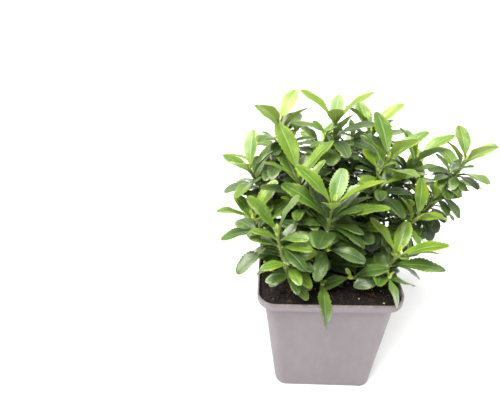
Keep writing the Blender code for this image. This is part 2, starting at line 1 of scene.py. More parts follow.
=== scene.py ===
# Evergreen spindle bush in a square nursery pot: the visible pot, soil, stems and leaves
# Metres, Z up. The origin is the middle of the pot's underside and the front is -Y

import json
import math

import bpy
import numpy as np
from mathutils import Matrix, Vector
from mathutils.bvhtree import BVHTree

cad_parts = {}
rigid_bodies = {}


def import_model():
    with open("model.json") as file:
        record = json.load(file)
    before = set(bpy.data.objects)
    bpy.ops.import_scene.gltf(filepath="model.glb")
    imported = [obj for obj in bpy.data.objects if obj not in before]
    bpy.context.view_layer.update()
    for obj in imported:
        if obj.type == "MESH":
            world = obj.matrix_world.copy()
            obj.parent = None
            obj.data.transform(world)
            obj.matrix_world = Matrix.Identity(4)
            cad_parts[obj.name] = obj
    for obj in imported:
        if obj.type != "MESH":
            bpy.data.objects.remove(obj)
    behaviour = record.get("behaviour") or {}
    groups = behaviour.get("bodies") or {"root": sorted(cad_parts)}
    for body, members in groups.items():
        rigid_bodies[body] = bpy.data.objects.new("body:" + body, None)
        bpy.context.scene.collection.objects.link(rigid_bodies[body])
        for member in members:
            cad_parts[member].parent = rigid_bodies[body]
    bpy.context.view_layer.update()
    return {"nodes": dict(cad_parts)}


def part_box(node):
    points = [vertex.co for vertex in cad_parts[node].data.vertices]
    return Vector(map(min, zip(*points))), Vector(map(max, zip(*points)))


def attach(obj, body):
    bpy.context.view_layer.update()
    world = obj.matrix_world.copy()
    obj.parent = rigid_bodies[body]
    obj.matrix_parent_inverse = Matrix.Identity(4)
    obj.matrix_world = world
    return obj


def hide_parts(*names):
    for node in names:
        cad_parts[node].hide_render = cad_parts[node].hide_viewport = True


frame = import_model()
print("frame loaded:", len(frame["nodes"]), "nodes")

mm = 0.001
quarter = math.pi / 2
upward = np.array([0.0, 0.0, 1.0])


# Camera: its place, and its turn, dip and roll in radians
viewFrom = {
    "place": (-0.0310, -0.2122, 0.2687),
    "yaw": -0.0871,
    "pitch": 0.5441,
    "roll": -0.0495,
    "focalPixels": 388.63,
    "imageWidth": 500,
    "sensor": 36.0,
    "clipStart": 0.01,
}


def aimCamera():
    yaw, pitch, roll = viewFrom["yaw"], viewFrom["pitch"], viewFrom["roll"]
    ahead = np.array([math.sin(yaw) * math.cos(pitch), math.cos(yaw) * math.cos(pitch), -math.sin(pitch)])
    level = np.array([math.cos(yaw), -math.sin(yaw), 0.0])
    above = np.cross(level, ahead)
    right = math.cos(roll) * level + math.sin(roll) * above
    up = -math.sin(roll) * level + math.cos(roll) * above
    lens = bpy.data.cameras.new("photoCamera")
    lens.sensor_width = viewFrom["sensor"]
    lens.lens = viewFrom["focalPixels"] / viewFrom["imageWidth"] * viewFrom["sensor"]
    lens.clip_start = viewFrom["clipStart"]
    camera = bpy.data.objects.new("photoCamera", lens)
    bpy.context.scene.collection.objects.link(camera)
    turned = np.eye(4)
    turned[:3, :3] = np.column_stack([right, up, -ahead])
    turned[:3, 3] = viewFrom["place"]
    camera.matrix_world = Matrix(turned.tolist())
    bpy.context.scene.camera = camera


aimCamera()
print("camera placed")


# Colours and node helpers


def colour(red, green, blue):
    c = np.array([red, green, blue]) / 255
    return (*np.where(c <= 0.04045, c / 12.92, ((c + 0.055) / 1.055) ** 2.4).tolist(), 1.0)


def addNode(tree, kind, inputs=None, **settings):
    made = tree.nodes.new(kind)
    for key, value in settings.items():
        setattr(made, key, value)
    for key, value in (inputs or {}).items():
        if isinstance(value, bpy.types.NodeSocket):
            tree.links.new(value, made.inputs[key])
        else:
            made.inputs[key].default_value = value
    return made


def maths(tree, operation, first, second=0.0, third=0.0):
    return addNode(tree, "ShaderNodeMath", {0: first, 1: second, 2: third}, operation=operation).outputs[0]


def times(tree, first, second):
    return maths(tree, "MULTIPLY", first, second)


def plus(tree, first, second):
    return maths(tree, "ADD", first, second)


def ramp(tree, value, low, high, start=0.0, end=1.0):
    # Smooth step of value from low to high, put out between start and end
    made = addNode(
        tree,
        "ShaderNodeMapRange",
        {"Value": value, "From Min": low, "From Max": high, "To Min": start, "To Max": end},
        interpolation_type="SMOOTHSTEP",
    )
    return made.outputs["Result"]


def evened(tree, value, low, high):
    # The middle part of a noise, from 0.3 to 0.7, stretched evenly from low to high
    made = addNode(
        tree,
        "ShaderNodeMapRange",
        {"Value": value, "From Min": 0.3, "From Max": 0.7, "To Min": low, "To Max": high},
    )
    return made.outputs["Result"]


def mixColour(tree, factor, first, second, blend="MIX"):
    made = addNode(tree, "ShaderNodeMix", data_type="RGBA", blend_type=blend)
    for key, value in ((0, factor), (6, first), (7, second)):
        if isinstance(value, bpy.types.NodeSocket):
            tree.links.new(value, made.inputs[key])
        else:
            made.inputs[key].default_value = value
    return made.outputs[2]


def noise(tree, place, scale, detail=2.0, roughness=0.5):
    made = addNode(
        tree,
        "ShaderNodeTexNoise",
        {"Vector": place, "Scale": scale, "Detail": detail, "Roughness": roughness},
    )
    return made.outputs["Fac"]


def newGroup(name, takes, gives):
    tree = bpy.data.node_groups.new(name, "ShaderNodeTree")
    for label, kind in takes:
        tree.interface.new_socket(label, in_out="INPUT", socket_type=kind)
    for label, kind in gives:
        tree.interface.new_socket(label, in_out="OUTPUT", socket_type=kind)
    return tree, tree.nodes.new("NodeGroupInput").outputs, tree.nodes.new("NodeGroupOutput")


def newMaterial(name, roughness, **constants):
    made = bpy.data.materials.new(name)
    made.use_nodes = True
    shader = made.node_tree.nodes["Principled BSDF"]
    shader.inputs["Roughness"].default_value = roughness
    for key, value in constants.items():
        shader.inputs[key.replace("_", " ")].default_value = value
    return made, made.node_tree, shader


def useGroup(tree, group, inputs):
    made = tree.nodes.new("ShaderNodeGroup")
    made.node_tree = group
    for key, value in inputs.items():
        made.inputs[key].default_value = value
    return made.outputs


def bump(tree, shader, height, strength, distance):
    made = addNode(tree, "ShaderNodeBump", {"Strength": strength, "Distance": distance, "Height": height})
    tree.links.new(made.outputs["Normal"], shader.inputs["Normal"])


# Light: a white backdrop, soft light from all round, a light from above the front left, a
# weaker one from behind, and a very broad one that shows only as sheen; each with the way
# it comes from, its spread in degrees, its strength, and whether it lights or gleams
studio = {
    "backdrop": 1.0,
    "fillStrength": 0.28,
    "sheenStrength": 0.6,
    "sheenColour": (1.0, 0.98, 0.86),
    "floorRings": (0.4, 2.0, 14.0),
    "floorSides": 96,
    "floorTone": 0.72,
    "lamps": (
        ("keyLight", (-0.35, -0.45, 1.2), 30, 5.0, True, False),
        ("backLight", (0.2, 0.85, 0.95), 34, 3.2, True, False),
        ("sheenLight", (-0.45, -0.05, 1.0), 64, 6.2, False, True),
    ),
}


def lightStudio():
    world = bpy.data.worlds.new("whiteRoom")
    world.use_nodes = True
    tree = world.node_tree
    background = tree.nodes["Background"]
    background.inputs["Color"].default_value = (1.0, 1.0, 1.0, 1.0)
    path = tree.nodes.new("ShaderNodeLightPath").outputs
    fill, sheen, backdrop = studio["fillStrength"], studio["sheenStrength"], studio["backdrop"]
    strength = maths(tree, "MULTIPLY_ADD", path["Is Glossy Ray"], sheen - fill, fill)
    strength = maths(tree, "MULTIPLY_ADD", path["Is Camera Ray"], backdrop - fill, strength)
    tree.links.new(strength, background.inputs["Strength"])
    bpy.context.scene.world = world
    for name, source, spread, power, lights, gleams in studio["lamps"]:
        lamp = bpy.data.lights.new(name, "SUN")
        lamp.angle = math.radians(spread)
        lamp.energy = power
        lamp.color = studio["sheenColour"] if gleams else (1.0, 1.0, 1.0)
        holder = bpy.data.objects.new(name, lamp)
        holder.visible_diffuse = lights
        holder.visible_glossy = gleams
        bpy.context.scene.collection.objects.link(holder)
        away = np.array(source) / np.linalg.norm(source)
        level = np.cross(upward, away)
        level = level / np.linalg.norm(level)
        turned = np.eye(4)
        turned[:3, :3] = np.column_stack([level, np.cross(away, level), away])
        holder.matrix_world = Matrix(turned.tolist())
    bpy.context.scene.view_settings.view_transform = "Standard"


lightStudio()
print("lights set")


# Blade pattern: pale midrib, side veins that run out towards the tip, a pale margin and
# base, soft blotches and a whitish bloom that is partly painted sheen. It reads the blade's own map:
# across, root to tip
bladeTones = ("Blade", "Deep", "Rib", "Margin")
bladeShares = (
    "Rib share", "Vein share", "Base share", "Bloom and sheen share", "Margin from", "Rough low", "Rough high",
)
bladeMarks = {
    "broadScale": 95.0,
    "fineScale": 900.0,
    "quiltScale": 430.0,
    "ribWidth": (0.04, 0.15),
    "ribEnd": (1.0, 0.8),
    "veins": 8.5,
    "veinCurve": 0.85,
    "veinSlant": -0.24,
    "veinWidth": (0.02, 0.17),
    "veinEnd": (0.95, 0.55),
    "marginBlur": 0.3,
    "tipBlur": (0.5, 1.0, 0.0, 0.4),
    "marginTo": 1.02,
    "baseEnd": (0.42, 0.08),
    "deepParts": {"tint": 0.5, "broad": 0.9, "across": -0.3},
    "deepRange": (0.2, 0.95),
    "patchScale": 150.0,
    "patches": (0.38, 0.62, 0.15, 0.7),
    "bloomSheenScale": 120.0,
    "bloomSheenRange": (0.55, 0.75),
    "bloomSheenTone": (196, 204, 172),
    "specks": ((95, 95, 95), (205, 205, 205)),
    "speckShare": 0.25,
    "heightParts": {"rib": -1.0, "vein": -0.9, "fine": 0.26, "quilt": 0.7, "broad": 0.8},
}


def weighed(tree, parts, weights):
    # The parts, each by its weight, added up
    total = 0.0
    for name, weight in weights.items():
        total = maths(tree, "MULTIPLY_ADD", parts[name], weight, total)
    return total


def makeBladeGroup():
    marks = bladeMarks
    colourKind, number = "NodeSocketColor", "NodeSocketFloat"
    tree, given, out = newGroup(
        "bladePattern",
        [(label, colourKind) for label in bladeTones] + [(label, number) for label in bladeShares],
        (("Color", colourKind), ("Roughness", number), ("Height", number)),
    )
    place = tree.nodes.new("ShaderNodeUVMap")
    place.uv_map = "bladeMap"
    onBlade = addNode(tree, "ShaderNodeSeparateXYZ", {0: place.outputs["UV"]}).outputs
    across = maths(tree, "ABSOLUTE", maths(tree, "MULTIPLY_ADD", onBlade["X"], 2.0, -1.0))
    along = onBlade["Y"]
    spot = tree.nodes.new("ShaderNodeTexCoord").outputs["Object"]
    tint = addNode(tree, "ShaderNodeAttribute", attribute_name="leafTint").outputs["Fac"]
    broad = noise(tree, spot, marks["broadScale"], 2.0)
    fine = noise(tree, spot, marks["fineScale"], 3.0, 0.6)
    quilt = noise(tree, spot, marks["quiltScale"], 2.0)

    rib = ramp(tree, across, *marks["ribWidth"], 1.0, 0.0)
    rib = times(tree, rib, ramp(tree, along, *marks["ribEnd"]))
    slant = times(tree, maths(tree, "POWER", across, marks["veinCurve"]), marks["veinSlant"])
    wave = maths(tree, "FRACT", times(tree, plus(tree, along, slant), marks["veins"]))
    away = maths(tree, "ABSOLUTE", maths(tree, "SUBTRACT", wave, 0.5))
    vein = ramp(tree, away, *marks["veinWidth"], 1.0, 0.0)
    vein = times(tree, vein, ramp(tree, across, *marks["veinEnd"]))
    vein = times(tree, vein, given["Vein share"])

    blur = maths(tree, "MULTIPLY_ADD", broad, marks["marginBlur"], -marks["marginBlur"] / 2)
    blur = plus(tree, blur, ramp(tree, along, *marks["tipBlur"]))
    # Pale margin: the young leaves' own yellowish edge, and on the darker leaves a thin painted highlight
    # where light catches the edge
    edge = ramp(tree, plus(tree, across, blur), given["Margin from"], marks["marginTo"])
    patch = ramp(tree, noise(tree, spot, marks["patchScale"], 1.0), *marks["patches"])
    base = times(tree, ramp(tree, along, *marks["baseEnd"]), given["Base share"])
    # Whitish patches: partly a waxy bloom, partly painted sheen that stands for soft reflections
    bloomSheen = ramp(tree, noise(tree, spot, marks["bloomSheenScale"], 4.0, 0.7), *marks["bloomSheenRange"])

    parts = {
        "tint": tint, "broad": broad, "across": across,
        "rib": rib, "vein": vein, "fine": fine, "quilt": quilt,
    }
    deep = ramp(tree, weighed(tree, parts, marks["deepParts"]), *marks["deepRange"])
    mixed = mixColour(tree, deep, given["Blade"], given["Deep"])
    mixed = mixColour(tree, base, mixed, given["Rib"])
    mixed = mixColour(tree, vein, mixed, given["Rib"])
    mixed = mixColour(tree, times(tree, rib, given["Rib share"]), mixed, given["Rib"])
    mixed = mixColour(tree, times(tree, edge, patch), mixed, given["Margin"])
    # Mixes in the whitish bloom and painted sheen
    mixed = mixColour(tree, times(tree, bloomSheen, given["Bloom and sheen share"]), mixed, colour(*marks["bloomSheenTone"]))
    speck = mixColour(tree, fine, *[colour(*tone) for tone in marks["specks"]])
    mixed = mixColour(tree, marks["speckShare"], mixed, speck, "OVERLAY")
    tree.links.new(mixed, out.inputs["Color"])
    tree.links.new(evened(tree, broad, given["Rough low"], given["Rough high"]), out.inputs["Roughness"])
    tree.links.new(weighed(tree, parts, marks["heightParts"]), out.inputs["Height"])
    return tree


bladeGroup = makeBladeGroup()

# Leaf finishes by age, youngest first: blade, deeper tone, rib and margin; then the shares
# of rib, veins, pale base and bloom with its painted sheen, where the margin's tone starts, and the low and
# the high roughness
leafFinish = {
    "tip": (
        (172, 190, 66), (150, 172, 56), (196, 206, 110), (192, 200, 98),
        0.4, 0.06, 0.5, 0.1, 0.4, 0.42, 0.55,
    ),
    "lime": (
        (142, 170, 30), (78, 127, 26), (178, 196, 84), (164, 174, 52),
        0.5, 0.1, 0.35, 0.3, 0.72, 0.34, 0.5,
    ),
    "bright": (
        (121, 154, 31), (69, 115, 28), (158, 180, 80), (146, 164, 56),
        0.5, 0.1, 0.22, 0.3, 0.8, 0.34, 0.5,
    ),
    "mid": (
        (114, 148, 38), (70, 106, 32), (148, 170, 84), (146, 164, 72),
        0.45, 0.1, 0.14, 0.3, 0.84, 0.34, 0.5,
    ),
    "deep": (
        (84, 114, 41), (50, 76, 33), (116, 138, 72), (128, 146, 77),
        0.38, 0.1, 0.1, 0.3, 0.87, 0.34, 0.5,
    ),
    # The darkest finish, for the oldest leaves, is partly painted shade: it darkens the leaves inside the
    # crown
    "inner": (
        (50, 68, 36), (29, 44, 27), (74, 92, 54), (84, 102, 60),
        0.22, 0.05, 0.06, 0.1, 0.88, 0.4, 0.54,
    ),
}
undersideFinish = {
    "youngBack": (
        (164, 187, 84), (140, 166, 68), (186, 199, 118), (176, 189, 96),
        0.5, 0.15, 0.3, 0.1, 0.8, 0.5, 0.6,
    ),
    "olderBack": (
        (140, 162, 98), (116, 140, 84), (158, 174, 122), (148, 166, 108),
        0.5, 0.15, 0.2, 0.1, 0.8, 0.5, 0.6,
    ),
}
bladeSkin = {
    "coat": {"tip": 0.4, "lime": 0.55, "bright": 0.6, "mid": 0.8, "deep": 0.8, "inner": 0.8},
    "coatRough": 0.28,
    "coatIor": 1.6,
    "rough": 0.35,
    "relief": 0.8,
    "backRelief": -0.6,
    "depth": 0.35 * mm,
}


def bladeMaterial(name, row, relief, coat=0.0):
    skin = bladeSkin
    made, tree, shader = newMaterial(
        name, skin["rough"], Coat_Weight=coat, Coat_Roughness=skin["coatRough"], Coat_IOR=skin["coatIor"])
    values = [colour(*value) if isinstance(value, tuple) else value for value in row]
    out = useGroup(tree, bladeGroup, dict(zip(bladeTones + bladeShares, values)))
    tree.links.new(out["Color"], shader.inputs["Base Color"])
    tree.links.new(out["Roughness"], shader.inputs["Roughness"])
    bump(tree, shader, out["Height"], relief, skin["depth"])
    return made


leafMaterials = {
    name: bladeMaterial(name + "Leaf", row, bladeSkin["relief"], bladeSkin["coat"][name])
    for name, row in leafFinish.items()
}
backMaterials = {
    name: bladeMaterial(name, row, bladeSkin["backRelief"]) for name, row in undersideFinish.items()
}
print("leaf finishes made")


# Mottle: two tones of one stuff mixed by two sizes of noise, with its relief
mottleMix = {"finerScale": 6.0, "coarse": 0.65, "finer": 0.35}


def makeMottleGroup():
    colourKind, number = "NodeSocketColor", "NodeSocketFloat"
    tree, given, out = newGroup(
        "mottle",
        (("Tone", colourKind), ("Second tone", colourKind), ("Scale", number), ("Upright stretch", number),
         ("Share low", number), ("Share high", number), ("Rough low", number), ("Rough high", number)),
        (("Color", colourKind), ("Roughness", number), ("Height", number)),
    )
    spot = tree.nodes.new("ShaderNodeTexCoord").outputs["Object"]
    squash = addNode(tree, "ShaderNodeCombineXYZ", {0: 1.0, 1: 1.0, 2: given["Upright stretch"]}).outputs[0]
    place = addNode(tree, "ShaderNodeVectorMath", {0: spot, 1: squash}, operation="MULTIPLY").outputs[0]
    coarse = noise(tree, place, given["Scale"], 4.0, 0.6)
    finer = noise(tree, place, times(tree, given["Scale"], mottleMix["finerScale"]), 3.0, 0.6)
    both = plus(tree, times(tree, coarse, mottleMix["coarse"]), times(tree, finer, mottleMix["finer"]))
    share = ramp(tree, both, given["Share low"], given["Share high"])
    tree.links.new(mixColour(tree, share, given["Tone"], given["Second tone"]), out.inputs["Color"])
    tree.links.new(evened(tree, finer, given["Rough low"], given["Rough high"]), out.inputs["Roughness"])
    tree.links.new(both, out.inputs["Height"])
    return tree


mottleGroup = makeMottleGroup()


def mottled(name, finish):
    made, tree, shader = newMaterial(name, finish["rough"][0])
    out = useGroup(tree, mottleGroup, {
        "Tone": colour(*finish["tone"]),
        "Second tone": colour(*finish["second"]),
        "Scale": finish["scale"],
        "Upright stretch": finish["stretch"],
        "Share low": finish["share"][0],
        "Share high": finish["share"][1],
        "Rough low": finish["rough"][0],
        "Rough high": finish["rough"][1],
    })
    tree.links.new(out["Color"], shader.inputs["Base Color"])
    tree.links.new(out["Roughness"], shader.inputs["Roughness"])
    bump(tree, shader, out["Height"], finish["relief"], finish["depth"])
    return made, tree, shader, out


# Meshes


def putMesh(name, points, faces, materials, body="root", sharp=None):
    mesh = bpy.data.meshes.new(name)
    mesh.from_pydata(points.tolist(), [], faces)
    mesh.validate()
    mesh.shade_smooth()
    if sharp:
        mesh.set_sharp_from_angle(angle=sharp)
    for each in materials:
        mesh.materials.append(each)
    made = bpy.data.objects.new(name, mesh)
    bpy.context.scene.collection.objects.link(made)
    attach(made, body)
    return made


def ringFaces(rings, size, first=0):
    # Quads between rings that follow each other, each ring a closed loop of size points
    level = np.arange(rings - 1)[:, None] * size
    i = np.arange(size)[None, :]
    j = (i + 1) % size
    quads = np.stack([level + i, level + j, level + size + j, level + size + i], axis=-1)
    return (quads.reshape(-1, 4) + first).tolist()


def capFaces(rings, size, first=0):
    # One face across the first ring and one across the last
    low = (first + np.arange(size)[::-1]).tolist()
    high = (first + (rings - 1) * size + np.arange(size)).tolist()
    return [low, high]


def aroundAngles(sides):
    # Even angles once round, from zero
    return np.arange(sides) / sides * math.tau


def unit(v):
    # The direction of v: v divided by its length
    return v / np.linalg.norm(v, axis=-1, keepdims=True)


def latticeNoise(points, scale, seed):
    # Random values on a cubic lattice, blended across each cell by the smooth step of the
    # share along each side, between -1 and 1
    cells = 32
    lattice = np.random.default_rng(seed).uniform(-1, 1, (cells, cells, cells))
    spot = points * scale
    cell = np.floor(spot).astype(int)
    share = spot - cell
    share = share * share * (3 - 2 * share)
    total = 0.0
    for dx in (0, 1):
        for dy in (0, 1):
            for dz in (0, 1):
                corner = (cell + (dx, dy, dz)) % cells
                weight = np.prod(np.where([dx, dy, dz], share, 1 - share), axis=-1)
                total = total + weight * lattice[corner[..., 0], corner[..., 1], corner[..., 2]]
    return total


# Pot: the CAD pot's own sizes, with its edges rounded
potForm = {
    "rim": 90 * mm,
    "height": 93 * mm,
    "rimCorner": 12 * mm,
    "collarDepth": 5.5 * mm,
    "collarReach": 4.0 * mm,
    "wall": 1.2 * mm,
    "base": 69 * mm,
    "baseCorner": 8 * mm,
    "floor": 1.6 * mm,
    "drainRadius": 3.5 * mm,
    "drainOffset": 21 * mm,
    "drainSides": 32,
    "drainCut": (-3 * mm, 6 * mm),
    "arcSteps": 10,
    "sideSteps": 6,
    "inset": 6 * mm,
    "cornerInset": 4 * mm,
    "edges": np.array([1.0, 0.6, 0.9, 0.5, 0.5, 0.4, 0.4, 0.8]) * mm,
    "edgeSteps": 4,
    "mostOfSide": 0.45,
    "sharpAngle": 50,
}
potNeck = potForm["rim"] / 2 - potForm["collarReach"]
potNeckCorner = potForm["rimCorner"] - potForm["collarReach"] + potForm["wall"]
potLedge = potForm["height"] - potForm["collarDepth"] + potForm["wall"]


def roundedSquare(half, corner, steps, straight):
    # Loop round a square: four arcs of the corner radius joined by straight sides
    # (half and corner may be columns of values, one for each ring)
    half, corner = np.atleast_1d(half)[:, None], np.atleast_1d(corner)[:, None]

    def onArc(turn, angle):
        middle = (turn + 0.5) * quarter
        reach = (half - corner) * math.sqrt(2)
        x = reach * math.cos(middle) + corner * np.cos(angle)
        y = reach * math.sin(middle) + corner * np.sin(angle)
        return np.stack([x, y], axis=-1)

    share = np.arange(1, straight)[None, :, None] / straight
    loops = []
    for turn in range(4):
        arc = onArc(turn, (turn + np.linspace(0, 1, steps)) * quarter)
        start, end = arc[:, -1:], onArc(turn + 1, np.array([(turn + 1) * quarter]))
        loops += [arc, start + (end - start) * share]
    return np.concatenate(loops, axis=1)


def softened(levels):
    # Each corner of the profile becomes a quadratic arc between points near it
    levels = np.array(levels)
    most = potForm["mostOfSide"]
    t = np.linspace(0, 1, potForm["edgeSteps"])[:, None]
    rows = [levels[:1]]
    for before, here, after, r in zip(levels[:-2], levels[1:-1], levels[2:], potForm["edges"]):
        first, last = before - here, after - here
        first = here + first * min(most, r / np.linalg.norm(first))
        last = here + last * min(most, r / np.linalg.norm(last))
        rows.append((1 - t) ** 2 * first + 2 * t * (1 - t) * here + t * t * last)
    rows.append(levels[-1:])
    return np.concatenate(rows)


def innerWall(z):
    # Half width and corner radius of the pot's inner face at a height
    if z > potLedge:
        return potForm["rim"] / 2 - potForm["wall"], potForm["rimCorner"] - potForm["wall"]
    share = (z - potForm["floor"]) / (potLedge - potForm["floor"])
    half = potForm["base"] / 2 + share * (potNeck - potForm["base"] / 2) - potForm["wall"]
    corner = potForm["baseCorner"] + share * (potNeckCorner - potForm["baseCorner"]) - potForm["wall"]
    return half, corner


def makePot():
    # A profile in half width, corner radius and height, from the middle of the underside
    # out, up the wall, over the collar and down the inside, each level a rounded square
    foot, rim, rimCorner = potForm["base"] / 2, potForm["rim"] / 2, potForm["rimCorner"]
    top, floor = potForm["height"], potForm["floor"]
    under = top - potForm["collarDepth"]
    floorHalf, floorCorner = innerWall(floor)
    inset, cornerInset = potForm["inset"], potForm["cornerInset"]
    levels = (
        (foot - inset, potForm["baseCorner"] - cornerInset, 0.0),
        (foot, potForm["baseCorner"], 0.0),
        (potNeck, potNeckCorner, under),
        (rim, rimCorner, under),
        (rim, rimCorner, top),
        (*innerWall(top), top),
        (*innerWall(top), potLedge),
        (*innerWall(potLedge), potLedge),
        (floorHalf, floorCorner, floor),
        (floorHalf - inset, floorCorner - cornerInset, floor),
    )
    rows = softened(levels)
    loop = roundedSquare(rows[:, 0], rows[:, 1], potForm["arcSteps"], potForm["sideSteps"])
    heights = np.broadcast_to(rows[:, 2][:, None, None], loop.shape[:2] + (1,))
    points = np.concatenate([loop, heights], axis=-1)
    rings, size = points.shape[:2]
    faces = ringFaces(rings, size) + capFaces(rings, size)
    sharp = math.radians(potForm["sharpAngle"])
    made = putMesh("pottedPot", points.reshape(-1, 3), faces, [potPlastic()], sharp=sharp)
    cutDrains(made)
    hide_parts("pot")


def cutDrains(made):
    # Four round holes through the floor, one towards each corner
    sides = potForm["drainSides"]
    angle = aroundAngles(sides)
    loop = np.stack([np.cos(angle), np.sin(angle)], axis=-1) * potForm["drainRadius"]
    points, faces = [], []
    for turn in range(4):
        aim = (turn + 0.5) * quarter
        middle = potForm["drainOffset"] * np.sign([math.cos(aim), math.sin(aim)])
        for z in potForm["drainCut"]:
            points.append(np.concatenate([loop + middle, np.full((sides, 1), z)], axis=-1))
        first = 2 * sides * turn
        faces += ringFaces(2, sides, first) + capFaces(2, sides, first)
    cutter = putMesh("drainCutter", np.concatenate(points), faces, [])
    cut = made.modifiers.new("drains", "BOOLEAN")
    cut.operation = "DIFFERENCE"
    cut.object = cutter
    cut.solver = "EXACT"
    bpy.context.view_layer.update()
    graph = bpy.context.evaluated_depsgraph_get()
    made.data = bpy.data.meshes.new_from_object(made.evaluated_get(graph))
    made.modifiers.clear()
    bpy.data.objects.remove(cutter)


potFinish = {
    "tone": (145, 136, 140),
    "second": (138, 129, 133),
    "scale": 28.0,
    "stretch": 0.35,
    "share": (0.35, 0.7),
    "rough": (0.46, 0.58),
    "relief": 0.25,
    "depth": 0.12 * mm,
    "dust": (110, 92, 78),
    "streakScale": (160.0, 160.0, 26.0),
    "streaks": (0.52, 0.8),
    "streaksFrom": (0.05, 0.093),
    "patchScale": 240.0,
    "patches": (0.32, 0.68),
    "edgeFrom": (0.0905, 0.093),
    "wallDust": 0.2,
    "edgeDust": 0.6,
}


def potPlastic():
    # Soft grey plastic with a few dusty streaks below the rim and on its top edge
    look = potFinish
    made, tree, shader, out = mottled("greyPlastic", look)
    spot = tree.nodes.new("ShaderNodeTexCoord").outputs["Object"]
    height = addNode(tree, "ShaderNodeSeparateXYZ", {0: spot}).outputs["Z"]
    drawn = addNode(tree, "ShaderNodeMapping", {"Vector": spot, "Scale": look["streakScale"]}).outputs[0]
    streaks = ramp(tree, noise(tree, drawn, 1.0, 4.0, 0.65), *look["streaks"])
    upper = times(tree, streaks, ramp(tree, height, *look["streaksFrom"]))
    patches = ramp(tree, noise(tree, spot, look["patchScale"], 3.0), *look["patches"])
    edge = times(tree, ramp(tree, height, *look["edgeFrom"]), patches)
    dust = plus(tree, times(tree, upper, look["wallDust"]), times(tree, edge, look["edgeDust"]))
    tree.links.new(mixColour(tree, dust, out["Color"], colour(*look["dust"])), shader.inputs["Base Color"])
    return made


makePot()
print("pot made")


# Bush: the same shoots as in the source, a row each: name; parent, and the share of the
# parent where it leaves; foot on the soil; top above the rim, in mm; arch; bare share;
# turn of the top pair; leaf length in mm; spread of the lower leaves; pairs that its top
# has outgrown; how fresh its leaves look, in pairs; how far they twist, in radians; the
# least lean of those below the top pair, in degrees; the turn from one pair to the next;
# the size of those below the top pair against the rule's; and the lean of the top pair,
# where it isn't the rule's
bush = {
    "seed": 417,
    "gap": 0.3 * mm,
    "soilTop": 91.2 * mm,
    "footRadius": 1.65 * mm,
    "boughRadius": 1.25 * mm,
    "tipRadius": 0.9 * mm,
    "flare": 1.1 * mm,
    "flareHeight": 2.5 * mm,
    "flareMarks": (0.0, 1.5 * mm, 4.0 * mm),
    "limbStep": 8 * mm,
    "leaderStep": 14 * mm,
    "shortestLimb": 5 * mm,
    "budLength": 4.2 * mm,
    "budShape": ((0.4, 1.2 * mm), (1.0, 0.15 * mm)),
    "limbSides": 6,
    "curveSteps": 65,
    "firstNodes": (0.8 * mm, 4.5 * mm, 11 * mm),
    "internode": 8 * mm,
    "nodeMargin": 2.5 * mm,
    "shoots": (
        ("front_left", None, 0, (-22, -29), (-32, -35, 45), 0.05, 0.15, 170, 31, 1.3, 0, 0.3,
         0.0, 52, -8, 0.76, 13),
        ("front", None, 0, (-6, -21), (0, -21, 55), -0.05, 0.12, 162, 36, 0.6, 0, 0.2),
        ("front_right", None, 0, (26, -21), (39, -27, 24), 0.1, 0.2, 158, 32, 0.8, 0, 0.3),
        ("middle", None, 0, (-13, 1), (-19, -3, 66), 0.0, 0.22, 115, 39, 0.6, 0, -0.3),
        ("right", None, 0, (17, 4), (36, 9, 71), 0.1, 0.28, 104, 36, 0.8, 0, 0.4),
        ("far_right", None, 0, (31, 9), (84, 13, 67), 0.2, 0.24, 100, 28, 1.2, 0, 0.0),
        ("back", None, 0, (2, 22), (5, 28, 88), 0.05, 0.3, 170, 32, 1.0, 0, 0.0),
        ("centre", None, 0, (7, -8), (15, 2, 43), 0.0, 0.15, 20, 34, 0.8, 0, -1.5),
        ("left", None, 0, (-28, -4), (-47, -10, 39), 0.15, 0.2, 40, 31, 1.0, 0, 0.0),
        ("back_left", None, 0, (-21, 22), (-30, 32, 85), 0.05, 0.3, 60, 31, 1.0, 0, 0.2),
        ("back_right", None, 0, (23, 30), (34, 50, 72), 0.1, 0.26, 20, 34, 1.0, 0, 0.0),
        ("right_low", "right", 0.2, None, (54, -8, 38), 0.1, 0.35, 95, 29, 1.2, 0, 0.6),
        ("right_mid", "far_right", 0.2, None, (68, 8, 43), 0.1, 0.35, 50, 24, 1.0, 0, 0.0),
        ("right_high", "right", 0.24, None, (60, 27, 62), 0.1, 0.3, 18, 31, 1.0, 0, -0.2),
        ("left_high", "back_left", 0.25, None, (-50, 16, 60), 0.1, 0.3, 75, 31, 1.0, 0, 0.0),
        ("back_low", "back", 0.25, None, (0, 64, 54), 0.1, 0.3, 45, 33, 1.0, 0, 0.0),
        ("back_left_low", "back_left", 0.18, None, (-42, 50, 42), 0.1, 0.3, 10, 31, 1.0, 0, 0.0),
        ("back_right_low", "back_right", 0.2, None, (62, 47, 36), 0.1, 0.3, 70, 32, 1.0, 0, 0.0),
        ("front_mid", "front", 0.42, None, (-3, -33, 33), 0.0, 0.3, 340, 24, 1.0, 3, -0.5),
        ("front_low", "front", 0.06, None, (-5, -34, 8), 0.0, 0.3, 268, 31, 0.8, 3, 1.0, 1.5),
        ("corner_low", "front_right", 0.15, None, (34, -34, 13), 0.25, 0.3, 275, 23, 1.3, 3, 0.5, 0.8),
        ("low_mid", "front_right", 0.1, None, (13, -31, 10), 0.0, 0.3, 5, 25, 1.1, 3, -0.5),
    ),
}
shootFields = (
    "name", "parent", "along", "foot", "top", "arch", "bare", "turn", "leaf", "spread", "age", "fresh",
    "twist", "open", "step", "lower", "close",
)
plainShoot = {"twist": 0.0, "open": 0, "step": 90, "lower": 1.0, "close": 0}
# What sets each kind of random draw apart from the others
draws = {"missed": 31, "twigs": 7, "fineTwigs": 11, "inner": 23, "tips": 77, "shades": 5, "looks": 3}


